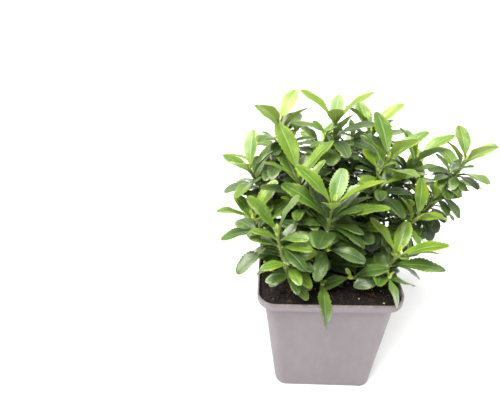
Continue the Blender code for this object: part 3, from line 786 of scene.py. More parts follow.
def pointOn(axis, t):
    # Quadratic curve: start, bend and end weighted by (1-t)^2, 2t(1-t) and t^2
    t = np.asarray(t, float)[..., None]
    return (1 - t) ** 2 * axis["start"] + 2 * t * (1 - t) * axis["bend"] + t * t * axis["end"]


def headingOn(axis, t):
    # The curve's direction: its two sides weighted by 1-t and t
    t = np.asarray(t, float)[..., None]
    return unit((1 - t) * (axis["bend"] - axis["start"]) + t * (axis["end"] - axis["bend"]))


def makeAxis(row, axes):
    # A shoot's curve: its bend lies further out than up, or the other way, by the arch
    axis = {**plainShoot, **dict(zip(shootFields, row))}
    parent = axes.get(axis["parent"])
    axis["rooted"] = parent is None
    axis["end"] = np.array(axis["top"]) * mm + (0, 0, potForm["height"])
    if axis["rooted"]:
        foot = np.array(axis["foot"]) * mm
        axis["start"] = np.array([foot[0], foot[1], bush["soilTop"] + bush["gap"]])
        axis["radius"] = bush["footRadius"]
    else:
        axis["start"] = pointOn(parent, axis["along"])
        axis["radius"] = bush["boughRadius"]
    out = 0.5 + axis["arch"]
    axis["bend"] = axis["start"] + (axis["end"] - axis["start"]) * (out, out, 1 - out)
    axis["steps"] = np.linspace(0, 1, bush["curveSteps"])
    runs = np.linalg.norm(np.diff(pointOn(axis, axis["steps"]), axis=0), axis=1)
    axis["marks"] = np.concatenate([[0.0], np.cumsum(runs)])
    axis["length"] = float(axis["marks"][-1])
    axis["first"] = 0.0 if axis["rooted"] else sideClearance(axis, parent)
    axis["leafy"] = max(axis["length"] * axis["bare"], axis["first"] + bush["shortestLimb"])
    return axis


def sideClearance(axis, parent):
    # How far along itself a side shoot comes clear of its parent's round side
    lean = float(np.dot(headingOn(axis, 0), headingOn(parent, axis["along"])))
    host = radiusAt(parent, axis["along"] * parent["length"])
    return (host + bush["gap"] + axis["radius"] * abs(lean)) / math.sqrt(1 - lean * lean)


def radiusAt(axis, distance):
    # An even taper to the tip, with a flare at the foot that dies away exponentially
    taper = axis["radius"] + (bush["tipRadius"] - axis["radius"]) * distance / axis["length"]
    if axis["rooted"]:
        taper = taper + bush["flare"] * np.exp(-distance / bush["flareHeight"])
    return taper


def shareOf(axis, distance):
    return np.interp(distance, axis["marks"], axis["steps"])


def at(axis, distance):
    return pointOn(axis, shareOf(axis, distance))


def heading(axis, distance):
    return headingOn(axis, shareOf(axis, distance))


def leafNodes(axis):
    # Distances of the leaf pairs along the axis, from the top pair down
    found = []
    down = bush["firstNodes"][0]
    while axis["length"] - down > axis["leafy"] + bush["nodeMargin"]:
        found.append(axis["length"] - down)
        more = len(found) < len(bush["firstNodes"])
        down = bush["firstNodes"][len(found)] if more else down + bush["internode"]
    return found


def turnOf(axis, pair, side):
    # Which way a leaf of a pair points, about its shoot
    return math.radians(axis["turn"] + pair * axis["step"]) + side * math.pi


def across(direction):
    # Two directions square to this one and to each other, the first as near +X as it can be
    first = unit(np.array([1.0, 0.0, 0.0]) - direction * direction[..., :1])
    return first, np.cross(direction, first)


def outAt(direction, turn):
    # The direction square to this one, at a turn about it
    first, second = across(direction)
    return math.cos(turn) * first + math.sin(turn) * second


def ringsOf(first, second, angle):
    # Rings of radius one: the cosine of each angle along first and its sine along second
    return np.cos(angle)[:, None] * first[:, None] + np.sin(angle)[:, None] * second[:, None]


def stations(low, high, step):
    # Even marks from low to high, about a step apart
    count = max(1, round((high - low) / step))
    return [low + (high - low) * i / count for i in range(count + 1)]


def tubeProxy(points, radii):
    # Six-sided tube round a line, used only for the clearance tests
    points, radii = np.array(points), np.array(radii)
    ends = np.concatenate([points[:1], points, points[-1:]])
    first, second = across(unit(ends[2:] - ends[:-2]))
    angle = (np.arange(bush["limbSides"]) + 0.5) / bush["limbSides"] * math.tau
    made = points[:, None] + radii[:, None, None] * ringsOf(first, second, angle)
    rings, size = made.shape[:2]
    return made.reshape(-1, 3), ringFaces(rings, size) + capFaces(rings, size)


def withBud(points, radii, direction, size):
    # A line's points and radii, carried on to the widest part and the tip of a bud
    tip = points[-1]
    for share, radius in bush["budShape"]:
        points.append(tip + direction * share * size * bush["budLength"])
        radii.append(radius * size)
    return points, radii


def limbLine(axis):
    # The bare part of a shoot, with closer marks in the flare of a rooted one
    marks = stations(axis["first"], axis["leafy"], bush["limbStep"])
    if axis["rooted"]:
        flare = bush["flareMarks"]
        marks = list(flare) + [m for m in marks if m > flare[-1] + mm]
    points = [at(axis, m) for m in marks]
    if axis["rooted"]:
        points[1] = points[0] + (0, 0, bush["flareMarks"][1])
    return points, [radiusAt(axis, m) for m in marks]


def leaderLine(axis):
    # The leafy part of a shoot, with the bud at its end
    marks = stations(axis["leafy"] + bush["gap"], axis["length"], bush["leaderStep"])
    points = [at(axis, m) for m in marks]
    return withBud(points, [radiusAt(axis, m) for m in marks], headingOn(axis, 1), 1.0)


# Leaf rule: lean and size by pair, from the top of a shoot down. The further a leaf leans
# out, the more it bends down and the flatter it opens
leafRule = {
    "lean": (34, 33, 49, 59, 66, 74, 80, 84),
    "size": (0.95, 0.82, 0.98, 0.95, 0.9, 0.84, 0.78, 0.72),
    "grade": (0.93, 1.06),
    "uprightLean": 35,
    "mostLean": 100,
    "uprightBend": 0.5,
    "bendPerDegree": 0.017,
    "mostBend": 1.05,
    "widestFold": 24,
    "leastFold": 8,
    "foldPerDegree": 0.3,
    "foldFade": 0.5,
    "lightLift": 1.0,
    "lightPull": 0.35,
    "aspect": 0.21,
    "proxyThick": 0.85 * mm,
    "petiole": 0.08,
    "petioleHalf": 0.45 * mm,
    "widestPower": 1.2,
    "basePower": 0.95,
    "tipPower": 0.45,
    "rootOut": 0.15 * mm,
    "stations": (0.0, 0.3, 0.6, 0.9),
    "clearance": 0.5 * mm,
    "bladeFrom": 0.2,
    "tries": 12,
    "turnSpread": 0.5,
    "leanSpread": 0.35,
    "twistSpread": 0.3,
    "shrink": 0.035,
    "probes": 14,
    "potClearance": 1.0 * mm,
    "againSize": (0.72, 0.95),
    "againClearance": -0.3 * mm,
}


def leafSpot(leaf, u):
    # Midrib: an arc that turns by bend radians from root to tip; the blade rolls by twist
    u = np.asarray(u, float)[..., None]
    turn = leaf["bend"] * u
    ahead = np.sin(turn) / leaf["bend"]
    drop = (1 - np.cos(turn)) / leaf["bend"]
    middle = leaf["root"] + leaf["length"] * (ahead * leaf["ahead"] - drop * leaf["up"])
    up = np.sin(turn) * leaf["ahead"] + np.cos(turn) * leaf["up"]
    side = np.cross(leaf["ahead"], leaf["up"])
    roll = leaf["twist"] * u
    return middle, np.cos(roll) * up - np.sin(roll) * side, np.cos(roll) * side + np.sin(roll) * up


def leafOutline(u, tipPower=leafRule["tipPower"]):
    # Share of the half width: a sine of the share along, raised to a power that falls from
    # the base to the tip, so that the base is a wedge and the tip is blunt
    v = np.maximum(0.0, (np.asarray(u, float) - leafRule["petiole"]) / (1 - leafRule["petiole"]))
    power = leafRule["basePower"] + (tipPower - leafRule["basePower"]) * v
    return np.maximum(0.0, np.sin(math.pi * v ** leafRule["widestPower"])) ** power


def leafHalf(leaf, u):
    return np.maximum(leafRule["petioleHalf"], leaf["half"] * leafOutline(u))


def foldAt(leaf, shares):
    return (leaf["fold"] * (1 - leafRule["foldFade"] * shares))[:, None]


def leafProxy(leaf, grow=0.0, first=0.0):
    # Coarse closed blade, used only for the clearance tests
    shares = np.array([first] + [u for u in leafRule["stations"] if u > first])
    middle, up, side = leafSpot(leaf, shares)
    half = (leafHalf(leaf, shares) + grow)[:, None]
    fold = foldAt(leaf, shares)
    out = half * np.cos(fold) * side
    lift = half * np.sin(fold) * up
    keel = (leafRule["proxyThick"] / 2 + grow) * up
    rings = np.stack([middle - out + lift, middle + keel, middle + out + lift, middle - keel], axis=1)
    tip = leafSpot(leaf, 1.0 + grow / leaf["length"])[0]
    points = np.concatenate([rings.reshape(-1, 3), tip.reshape(1, 3)])
    last = len(points) - 1
    faces = ringFaces(len(shares), 4) + [[3, 2, 1, 0]]
    return points, faces + [[last - 4 + i, last - 4 + (i + 1) % 4, last] for i in range(4)]


def poseLeaf(root, direction, turn, lean, size, twist):
    # Leans out from the shoot's direction, lifted to the light; its face turns partly up
    direction = unit(direction + leafRule["lightLift"] * upward)
    out = outAt(direction, turn)
    ahead = math.cos(lean) * direction + math.sin(lean) * out
    above = math.sin(lean) * direction - math.cos(lean) * out
    above = above + leafRule["lightPull"] * upward
    more = max(0.0, math.degrees(lean) - leafRule["uprightLean"])
    fold = max(leafRule["leastFold"], leafRule["widestFold"] - leafRule["foldPerDegree"] * more)
    return {
        "root": root + leafRule["rootOut"] * ahead,
        "ahead": ahead,
        "up": unit(above - ahead * np.dot(above, ahead)),
        "length": size,
        "half": leafRule["aspect"] * size,
        "bend": min(leafRule["mostBend"], leafRule["uprightBend"] + leafRule["bendPerDegree"] * more),
        "fold": math.radians(fold),
        "twist": twist,
    }


# Room: everything placed so far, so that each new piece is tried against it
roomMost = 9000
room = {
    "owner": [],
    "kind": [],
    "tree": [],
    "centre": np.zeros((roomMost, 3)),
    "radius": np.zeros(roomMost),
}


def roughBall(points):
    centre = (points.min(axis=0) + points.max(axis=0)) / 2
    return centre, float(np.linalg.norm(points - centre, axis=1).max())


def addToRoom(owner, kind, points, faces):
    count = len(room["tree"])
    room["centre"][count], room["radius"][count] = roughBall(points)
    room["owner"].append(owner)
    room["kind"].append(kind)
    room["tree"].append(BVHTree.FromPolygons(points.tolist(), faces))


def isFree(points, faces, wanted):
    # Whether a closed shape cuts none of the wanted things in the room
    count = len(room["tree"])
    centre, radius = roughBall(points)
    away = np.linalg.norm(room["centre"][:count] - centre, axis=1)
    tree = None
    for i in np.flatnonzero(away <= room["radius"][:count] + radius):
        if not wanted(room["owner"][i], room["kind"][i]):
            continue
        if tree is None:
            tree = BVHTree.FromPolygons(points.tolist(), faces)
        if tree.overlap(room["tree"][i]):
            return False
    return True


def clearOfPot(points):
    # Whether all points keep off the pot's wall, the soil and the ground
    square = np.abs(points[:, :2]).max(axis=1)
    margin = leafRule["potClearance"]
    inside = potForm["rim"] / 2 - potForm["wall"] - margin
    outside = potForm["rim"] / 2 + margin
    inWall = (points[:, 2] < potForm["height"] + margin) & (square > inside) & (square < outside)
    inSoil = (square <= inside) & (points[:, 2] < bush["soilTop"] + margin)
    return not (inWall | inSoil | (points[:, 2] < margin)).any()


def leafProbe(leaf):
    # Points along the midrib and both margins
    shares = np.linspace(leafRule["petiole"], 1, leafRule["probes"])
    middle, up, side = leafSpot(leaf, shares)
    half, fold = leafHalf(leaf, shares)[:, None], foldAt(leaf, shares)
    lift, out = half * np.sin(fold) * up, half * np.cos(fold) * side
    return np.concatenate([middle - out + lift, middle, middle + out + lift])


def leafFits(leaf, owner, clearance):
    # The whole leaf is tried against other shoots, and its blade against its own shoot
    if not clearOfPot(leafProbe(leaf)):
        return False
    if not isFree(*leafProxy(leaf, clearance), lambda who, kind: who != owner and kind != "blade"):
        return False
    blade = leafProxy(leaf, clearance, leafRule["bladeFrom"])
    return isFree(*blade, lambda who, kind: who == owner and kind != "leaf")


def pairValue(values, pair):
    return values[min(pair, len(values) - 1)]


def placeLeaf(axis, root, direction, turn, pair, size, rng, clearance, reach=None):
    # First free pose: the leaf turns, leans and shrinks a little more at each try
    sway = rng.uniform(-1, 1, (leafRule["tries"], 3))
    grade = rng.uniform(*leafRule["grade"])
    upright = leafRule["lean"][0]
    spread = upright + axis["spread"] * (pairValue(leafRule["lean"], pair) - upright)
    spread = min(leafRule["mostLean"], max(spread, axis["open"] if pair else 0))
    if pair == 0 and axis["close"]:
        spread = axis["close"]
    for attempt in range(leafRule["tries"]):
        loose = (attempt + 1) / leafRule["tries"]
        leaf = poseLeaf(
            root,
            direction,
            turn + leafRule["turnSpread"] * loose * sway[attempt, 1],
            math.radians(spread) + leafRule["leanSpread"] * loose * sway[attempt, 0],
            size * grade * (1 - leafRule["shrink"] * attempt),
            axis["twist"] + leafRule["twistSpread"] * sway[attempt, 2],
        )
        if reach is not None and not insideReach(leaf, reach):
            continue
        if leafFits(leaf, axis["name"], clearance):
            keepLeaf(leaf, axis["name"], clearance)
            return leaf
    return None


def keepLeaf(leaf, owner, clearance):
    addToRoom(owner, "leaf", *leafProxy(leaf, clearance))
    addToRoom(owner, "blade", *leafProxy(leaf, clearance, leafRule["bladeFrom"]))


def insideReach(leaf, reach):
    points = leafProbe(leaf)
    return bool((points >= reach[0]).all() and (points <= reach[1]).all())


def growLeaves(axes, leaves, missed):
    # Leaf pairs on every leader, all the top pairs first
    deepest = max(len(leafNodes(axis)) for axis in axes.values())
    for pair in range(deepest):
        for index, (name, axis) in enumerate(axes.items()):
            nodes = leafNodes(axis)
            if pair >= len(nodes):
                continue
            age = pair + axis["age"]
            size = axis["leaf"] * mm * pairValue(leafRule["size"], age) * (axis["lower"] if pair else 1)
            for side in range(2):
                rng = np.random.default_rng((bush["seed"], index, pair, side))
                turn = turnOf(axis, pair, side)
                mark = nodes[pair]
                place, direction = at(axis, mark), heading(axis, mark)
                leaf = placeLeaf(axis, place, direction, turn, age, size, rng, leafRule["clearance"])
                if leaf:
                    leaf["age"] = age - axis["fresh"]
                    leaf["pair"] = (name, pair)
                    leaves.append(leaf)
                else:
                    missed.append((axis, index, pair, side, mark, turn, age, size))


def growMissed(missed, leaves, reachOf):
    # Leaves that found no room in the source, tried again smaller and closer to the others
    for axis, index, pair, side, mark, turn, age, size in missed:
        rng = np.random.default_rng((bush["seed"], index, pair, side, draws["missed"]))
        place, direction = at(axis, mark), heading(axis, mark)
        smaller = size * rng.uniform(*leafRule["againSize"])
        clearance, reach = leafRule["againClearance"], reachOf[axis["name"]]
        leaf = placeLeaf(axis, place, direction, turn, age, smaller, rng, clearance, reach)
        if leaf:
            leaf["age"] = age - axis["fresh"]
            leaves.append(leaf)


# Side twigs: the short ones of the source, then finer ones at every other node
twigRule = {
    "chance": 0.45,
    "length": (8 * mm, 16 * mm),
    "radius": 0.8 * mm,
    "lean": 0.8,
    "pairs": (1.0, 0.55),
    "size": (0.4, 0.6),
    "fromNode": 2,
    "tries": 3,
    "clearance": leafRule["clearance"],
    "ageStep": 1.2,
}
fineTwigRule = {
    "chance": 1.0,
    "length": (8 * mm, 22 * mm),
    "radius": 0.55 * mm,
    "lean": 0.95,
    "pairs": (1.0, 0.75, 0.5),
    "size": (0.4, 0.66),
    "fromNode": 3,
    "tries": 3,
    "clearance": 0.12 * mm,
    "ageStep": 3.0,
}


twigShape = {"bearing": (0.35, 0.6), "straighten": 0.6, "clearFrom": 0.6, "budSize": 0.7, "freshShare": 0.6}


def twigLine(root, direction, turn, length, rule):
    # Leaves at its lean, and turns back towards the shoot's own direction halfway along
    out = outAt(direction, turn)
    start = math.cos(rule["lean"]) * direction + math.sin(rule["lean"]) * out
    finish = unit(start + twigShape["straighten"] * direction)
    middle = root + start * length * 0.5
    end = middle + finish * length * 0.5
    return withBud([root, middle, end], [rule["radius"]] * 3, finish, twigShape["budSize"]), finish


def placeTwig(axis, mark, turn, leaves, rng, rule, reach=None):
    # First free twig, with the leaf pairs that find room on it
    for attempt in range(rule["tries"]):
        length = rng.uniform(*rule["length"])
        bearing = turn + rng.uniform(*twigShape["bearing"]) * rng.choice((-1, 1))
        line, finish = twigLine(at(axis, mark), heading(axis, mark), bearing, length, rule)
        (root, middle, end), radii = line[0][:3], line[1]
        if reach is not None and not isInward(root, end):
            continue
        outer = [root + (middle - root) * twigShape["clearFrom"]] + line[0][1:]
        body, bodyFaces = tubeProxy(outer, [r + rule["clearance"] for r in radii])
        if not clearOfPot(body):
            continue
        if not isFree(body, bodyFaces, lambda who, kind: kind != "blade"):
            continue
        addToRoom(axis["name"], "twig", body, bodyFaces)
        for pair, share in enumerate(rule["pairs"]):
            spot = middle + (end - middle) * (share * 2 - 1)
            size = axis["leaf"] * mm * rng.uniform(*rule["size"])
            for side in range(2):
                around = bearing + pair * quarter + side * math.pi + quarter
                clearance = rule["clearance"]
                leaf = placeLeaf(axis, spot, finish, around, pair + 1, size, rng, clearance, reach)
                if leaf:
                    leaf["age"] = rule["ageStep"] + pair - axis["fresh"] * twigShape["freshShare"]
                    leaves.append(leaf)
        return {"line": line, "turn": bearing, "radius": rule["radius"]}
    return None


def growTwigs(axes, leaves, twigs, rule, draw, skip, reachOf=None):
    # A twig in the angle above a leaf, where the draw gives one and none stands yet
    for index, (name, axis) in enumerate(axes.items()):
        reach = reachOf[name] if reachOf else None
        for pair, mark in enumerate(leafNodes(axis)):
            if pair < rule["fromNode"]:
                continue
            for side in range(2):
                rng = np.random.default_rng((bush["seed"], index, pair, side, draw))
                if (name, pair, side) in skip or rng.random() > rule["chance"]:
                    continue
                turn = turnOf(axis, pair, side)
                twig = placeTwig(axis, mark, turn, leaves, rng, rule, reach)
                if twig:
                    twigs.append(twig)
                    skip.add((name, pair, side))


# Inner leaves: older ones that close the crown, from the foot of each shoot up to its
# younger pairs; counted older still, so that their darker finishes are partly painted shade inside the
# crown
innerRule = {
    "spacing": 2.6 * mm,
    "from": 0.08,
    "belowTop": 10 * mm,
    "sides": 4,
    "size": (0.5, 0.95),
    "lean": (0.4, 1.35),
    "tries": 16,
    "clearance": -0.3 * mm,
    "margin": 3 * mm,
    "openBelow": 8 * mm,
    "lowSprays": ("front_right", "corner_low", "front", "front_mid"),
    "shrink": 0.03,
    "twist": 0.3,
    # Pairs added to an inner leaf's age, so that it takes the darker finishes as painted shade inside the
    # crown
    "ageStep": 2.2,
    "core": (12 * mm, 7 * mm),
    "coreRadius": 15 * mm,
    "outReach": 5 * mm,
}


def isInward(place, tip):
    # A thing keeps to the inner side of its shoot, so that the main pairs stand out in front
    outward = place[:2] - np.array(innerRule["core"])
    away = np.linalg.norm(outward)
    if away < innerRule["coreRadius"]:
        return True
    return np.dot(tip[:2] - place[:2], outward) < innerRule["outReach"] * away


def reachOfShoots(axes):
    # Box of a shoot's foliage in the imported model, a little larger to the left and the
    # front, and down to a floor above the soil
    found = {}
    for name in axes:
        low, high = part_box("leaves_" + name)
        margin = innerRule["margin"]
        floor = potForm["height"] + (0.0 if name in innerRule["lowSprays"] else innerRule["openBelow"])
        found[name] = (np.array([low[0] - margin, low[1] - margin, floor]), np.array(high))
    return found


def growInner(axes, leaves, reachOf):
    # Leaves in the gaps at close marks along each shoot, from the top down
    for index, (name, axis) in enumerate(axes.items()):
        first = max(axis["length"] * innerRule["from"], axis["first"] + 2 * mm)
        marks = np.arange(first, axis["length"] - innerRule["belowTop"], innerRule["spacing"])
        for step, mark in enumerate(marks[::-1]):
            for side in range(innerRule["sides"]):
                rng = np.random.default_rng((bush["seed"], index, step, side, draws["inner"]))
                leaf = fillGap(axis, mark, rng, reachOf[name])
                if leaf:
                    below = (axis["length"] - mark) / bush["internode"]
                    leaf["age"] = below + axis["age"] + innerRule["ageStep"]
                    leaves.append(leaf)


def fillGap(axis, mark, rng, reach):
    # First free pose among random turns and leans, a little smaller at each try
    size = axis["leaf"] * mm * rng.uniform(*innerRule["size"])
    for attempt in range(innerRule["tries"]):
        leaf = poseLeaf(
            at(axis, mark),
            heading(axis, mark),
            rng.uniform(0, math.tau),
            rng.uniform(*innerRule["lean"]),
            size * (1 - innerRule["shrink"] * attempt),
            rng.uniform(-innerRule["twist"], innerRule["twist"]),
        )
        if not isInward(at(axis, mark), leafSpot(leaf, 1.0)[0]):
            continue
        if insideReach(leaf, reach) and leafFits(leaf, axis["name"], innerRule["clearance"]):
            keepLeaf(leaf, axis["name"], innerRule["clearance"])
            return leaf
    return None


axes = {}
for shootRow in bush["shoots"]:
    axes[shootRow[0]] = makeAxis(shootRow, axes)
for shootName, shootAxis in axes.items():
    addToRoom(shootName, "limb", *tubeProxy(*limbLine(shootAxis)))
    addToRoom(shootName, "twig", *tubeProxy(*leaderLine(shootAxis)))

leaves, innerLeaves, twigs, missed = [], [], [], []
grown = set()
growLeaves(axes, leaves, missed)
growTwigs(axes, leaves, twigs, twigRule, draws["twigs"], grown)
print("source's leaves:", len(leaves), "twigs:", len(twigs))
shootReach = reachOfShoots(axes)
growMissed(missed, innerLeaves, shootReach)
print("missed leaves:", len(missed), "grown after all:", len(innerLeaves))
growTwigs(axes, innerLeaves, twigs, fineTwigRule, draws["fineTwigs"], grown, shootReach)
growInner(axes, innerLeaves, shootReach)
print("inner leaves:", len(innerLeaves), "all twigs:", len(twigs))


# Blades: shares along and across, the thickness, teeth, roll of the margin and ripple
bladeForm = {
    "along": (0.0, 0.06, 0.12, 0.18, 0.25, 0.32, *np.linspace(0.38, 0.9, 16), 0.93, 0.957, 0.982),
    "across": (-1.0, -0.7, -0.35, 0.0, 0.35, 0.7, 1.0, 0.45, 0.0, -0.45),
    "under": (0, 0, 0, 0, 0, 0, 0, 1, 1, 1),
    "toothFrom": 0.36,
    "toothDepth": 0.08,
    "thick": 0.38 * mm,
    "stalkThick": 0.8 * mm,
    "keel": 0.25 * mm,
    "marginRoll": 0.2,
    "ripple": 0.06,
    "rippleWaves": 2.3,
    "rippleShift": 0.27,
    "groove": 0.4,
    "keelWide": 0.2,
    "foldMore": 1.85,
    "stalk": 0.1,
    "stalkFade": 0.15,
    "tipPowers": (0.4, 0.6),
    "sharpAngle": 70,
}
olderForm = dict(
    bladeForm,
    along=(
        0.0, 0.06, 0.12, 0.18, 0.26, 0.34, 0.42, 0.49, 0.56, 0.62, 0.68, 0.74, 0.8, 0.855, 0.905, 0.945,
        0.98,
    ),
)
innerForm = dict(
    bladeForm,
    along=(0.0, 0.1, 0.2, 0.34, 0.48, 0.62, 0.75, 0.86, 0.95),
    across=(-1.0, -0.5, 0.0, 0.5, 1.0, 0.0),
    under=(0, 0, 0, 0, 0, 1),
    toothDepth=0.0,
)


def stacked(leaves, key):
    return np.array([leaf[key] for leaf in leaves])


def bladeSurface(leaves, form):
    # Rings round each blade, root to tip. The midrib is an arc that turns by bend; half
    # the width is the stalk's or the sine outline's, toothed in its outer part; each half
    # rises at the fold angle, its margin rolls back with the cube of the share across and
    # ripples; the back lies the thickness below the face, with a keel under the midrib
    u = np.array(form["along"])[None, :, None]
    v = np.array(form["across"])[None, None, :]
    under = np.array(form["under"])[None, None, :]
    keys = ("bend", "twist", "fold", "half", "length", "phase", "point")
    bend, twist, fold, half, length, phase, point = (stacked(leaves, key)[:, None, None] for key in keys)
    turn = bend * u
    ahead, up, root = (stacked(leaves, key)[:, None, None, :] for key in ("ahead", "up", "root"))
    side = np.cross(ahead, up)
    reachOut = (length * np.sin(turn) / bend)[..., None]
    drop = (length * (1 - np.cos(turn)) / bend)[..., None]
    middle = root + reachOut * ahead - drop * up
    over = np.sin(turn)[..., None] * ahead + np.cos(turn)[..., None] * up
    roll = (twist * u)[..., None]
    above = np.cos(roll) * over - np.sin(roll) * side
    beside = np.cos(roll) * side + np.sin(roll) * over
    teeth = np.where(np.arange(u.size) % 2, 1.0, -1.0)[None, :, None] * (u > form["toothFrom"])
    width = half * leafOutline(u, point) * (1 + form["toothDepth"] * teeth)
    width = np.maximum(leafRule["petioleHalf"], width)
    folded = form["foldMore"] * fold * (1 - leafRule["foldFade"] * u)
    groove = form["groove"]
    rise = width * np.sin(folded) * (np.sqrt(v * v + groove * groove) - groove)
    blade = np.clip((u - form["stalk"]) / form["stalkFade"], 0, 1)
    wave = np.sin(math.tau * (form["rippleWaves"] * u + phase + form["rippleShift"] * (v > 0)))
    rise = rise + blade * width * (form["ripple"] * wave * v * v - form["marginRoll"] * np.abs(v) ** 3)
    thick = form["stalkThick"] + (form["thick"] - form["stalkThick"]) * blade
    keel = form["keel"] * np.exp(-((v / form["keelWide"]) ** 2))
    thick = thick * (1 - np.abs(v) ** 3) + keel * blade
    rise = rise - under * thick
    return middle + (width * v * np.cos(folded))[..., None] * beside + rise[..., None] * above


def bladeTips(leaves):
    # The end of each midrib's arc
    bend, length = stacked(leaves, "bend")[:, None], stacked(leaves, "length")[:, None]
    reachOut, drop = length * np.sin(bend) / bend, length * (1 - np.cos(bend)) / bend
    return stacked(leaves, "root") + reachOut * stacked(leaves, "ahead") - drop * stacked(leaves, "up")


def makeBlades(name, leaves, form, materials):
    # Quads between the rings, a fan to each tip and a cap at each stalk; the parts marked
    # as under get the second material
    rings = bladeSurface(leaves, form)
    count, along, size = rings.shape[:3]
    last = along * size
    stride = last + 1
    points = np.concatenate([rings.reshape(count, -1, 3), bladeTips(leaves)[:, None]], axis=1)
    starts = np.arange(count)[:, None, None] * stride
    i = np.arange(size)
    j = (i + 1) % size
    quads = starts + np.array(ringFaces(along, size))[None]
    fans = starts + np.stack([last - size + i, last - size + j, np.full(size, last)], axis=-1)[None]
    caps = starts[:, 0] + i[::-1][None]
    faces = quads.reshape(-1, 4).tolist() + fans.reshape(-1, 3).tolist() + caps.tolist()
    sharp = math.radians(form["sharpAngle"])
    made = putMesh(name, points.reshape(-1, 3), faces, materials, sharp=sharp)
    mesh = made.data
    under = np.array(form["under"])
    strip = (under[i] + under[j] > 0).astype(np.int32)
    finishes = np.concatenate([np.tile(strip, count * along), np.ones(count, np.int32)])
    mesh.polygons.foreach_set("material_index", finishes)
    u = np.append(np.repeat(form["along"], size), 1.0)
    v = np.append(np.tile(form["across"], along), 0.0) * 0.5 + 0.5
    perPoint = np.tile(np.stack([v, u], axis=-1), (count, 1))
    corner = np.empty(len(mesh.loops), np.int32)
    mesh.loops.foreach_get("vertex_index", corner)
    layer = mesh.uv_layers.new(name="bladeMap")
    layer.data.foreach_set("uv", perPoint[corner].astype(np.float32).ravel())
    tint = mesh.attributes.new("leafTint", "FLOAT", "POINT")
    tint.data.foreach_set("value", np.repeat(stacked(leaves, "tint"), stride).astype(np.float32))
    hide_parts(*["leaves_" + each for each in axes])


# Which finish a leaf gets, by its age in pairs from the bud; some sprays have their own,
# from the top pair down
ageLimits = (("lime", 0.6), ("bright", 1.6), ("mid", 2.9), ("deep", 6.0), ("inner", 99.0))
ageBlur = 0.45
sprayFinish = {
    "front_left": ("mid", "bright", "mid", "deep", "bright", "mid"),
    "front": ("lime", "bright", "mid", "deep"),
    "front_right": ("lime", "bright", "mid", "mid"),
    "middle": ("bright", "lime", "mid"),
    "right": ("bright", "lime", "bright", "mid"),
    "far_right": ("bright", "bright", "mid", "mid"),
    "low_mid": ("deep", "deep"),
}
tipLeaves = {
    "lean": 15,
    "leanSway": (-0.1, 0.15),
    "turnSway": (-0.2, 0.2),
    "twist": (-0.2, 0.2),
    "length": (5.5 * mm, 8.5 * mm),
    "bend": 0.35,
    "fold": 30,
}


def growTips(axes):
    # The youngest pair, still upright round each bud
    made = []
    for index, axis in enumerate(axes.values()):
        rng = np.random.default_rng((bush["seed"], index, draws["tips"]))
        for side in range(2):
            turn = turnOf(axis, 0, side) + quarter + rng.uniform(*tipLeaves["turnSway"])
            lean = math.radians(tipLeaves["lean"]) + rng.uniform(*tipLeaves["leanSway"])
            size, twist = rng.uniform(*tipLeaves["length"]), rng.uniform(*tipLeaves["twist"])
            leaf = poseLeaf(axis["end"], headingOn(axis, 1), turn, lean, size, twist)
            leaf["bend"] = tipLeaves["bend"]
            leaf["fold"] = math.radians(tipLeaves["fold"])
            made.append(leaf)
    return made


def dealShades(leaves):
    dealt = {name: [] for name, _ in ageLimits}
    rng = np.random.default_rng((bush["seed"], draws["shades"]))
    for leaf in leaves:
        age = leaf["age"] + rng.normal(0, ageBlur)
        spray, pair = leaf.get("pair", (None, 0))
        if pair < len(sprayFinish.get(spray, ())):
            dealt[sprayFinish[spray][pair]].append(leaf)
            continue
        for name, limit in ageLimits:
            if age < limit:
                dealt[name].append(leaf)
                break
    return dealt


def finishLeaves():
    tips = growTips(axes)
    rng = np.random.default_rng((bush["seed"], draws["looks"]))
    for leaf in leaves + innerLeaves + tips:
        leaf["phase"] = rng.random()
        leaf["tint"] = rng.random()
        leaf["point"] = rng.uniform(*bladeForm["tipPowers"])
    dealt = dealShades(leaves + innerLeaves)
    for name, group in dealt.items():
        back = "youngBack" if name in ("lime", "bright") else "olderBack"
        materials = [leafMaterials[name], backMaterials[back]]
        if name == "deep":  # Those off the main pairs are a piece of their own, with fewer teeth
            makeBlades("leaves_older", [leaf for leaf in group if "pair" not in leaf], olderForm, materials)
            group = [leaf for leaf in group if "pair" in leaf]
        makeBlades("leaves_" + name, group, innerForm if name == "inner" else bladeForm, materials)
        print("leaves", name, len(group))
    makeBlades("leaves_tip", tips, innerForm, [leafMaterials["tip"], backMaterials["youngBack"]])


finishLeaves()


# Stems: a ring profile carried along each shoot's line
stemForm = {
    "step": 0.7 * mm,
    "sides": 18,
    "below": 1.6 * mm,
    "beyond": 0.6 * mm,
    "boughFrom": 0.35,
    "fewestRings": 8,
    "seed": 60,
    "wanderScale": 160.0,
    "wander": 1.6,
    "fissureTurns": 3.5,
    "fissureLevel": 0.6,
    "fissures": 0.09,
    "lumpScale": 520.0,
    "lumps": 0.08,
    "scars": 0.22,
    "scarEvery": 8.5 * mm,
    "scarWide": 1.0 * mm,
}
barkFinish = {
    "tone": (98, 92, 62),
    "second": (58, 52, 38),
    "scale": 260.0,
    "stretch": 0.3,
    "share": (0.36, 0.62),
    "rough": (0.55, 0.8),
    "relief": 0.6,
    "depth": 0.25 * mm,
}
twigForm = {
    "step": 0.8 * mm,
    "sides": 12,
    "overlap": 0.2 * mm,
    "ridge": 0.11,
    "node": 0.38,
    "nodeWide": 1.0 * mm,
    "fineRings": 12,
    "fineSides": 8,
    "fineTaper": (1.05, 0.2),
    "fineNode": 0.3,
    "fineNodes": ((1.0, 0.12), (0.5, 0.1)),
}
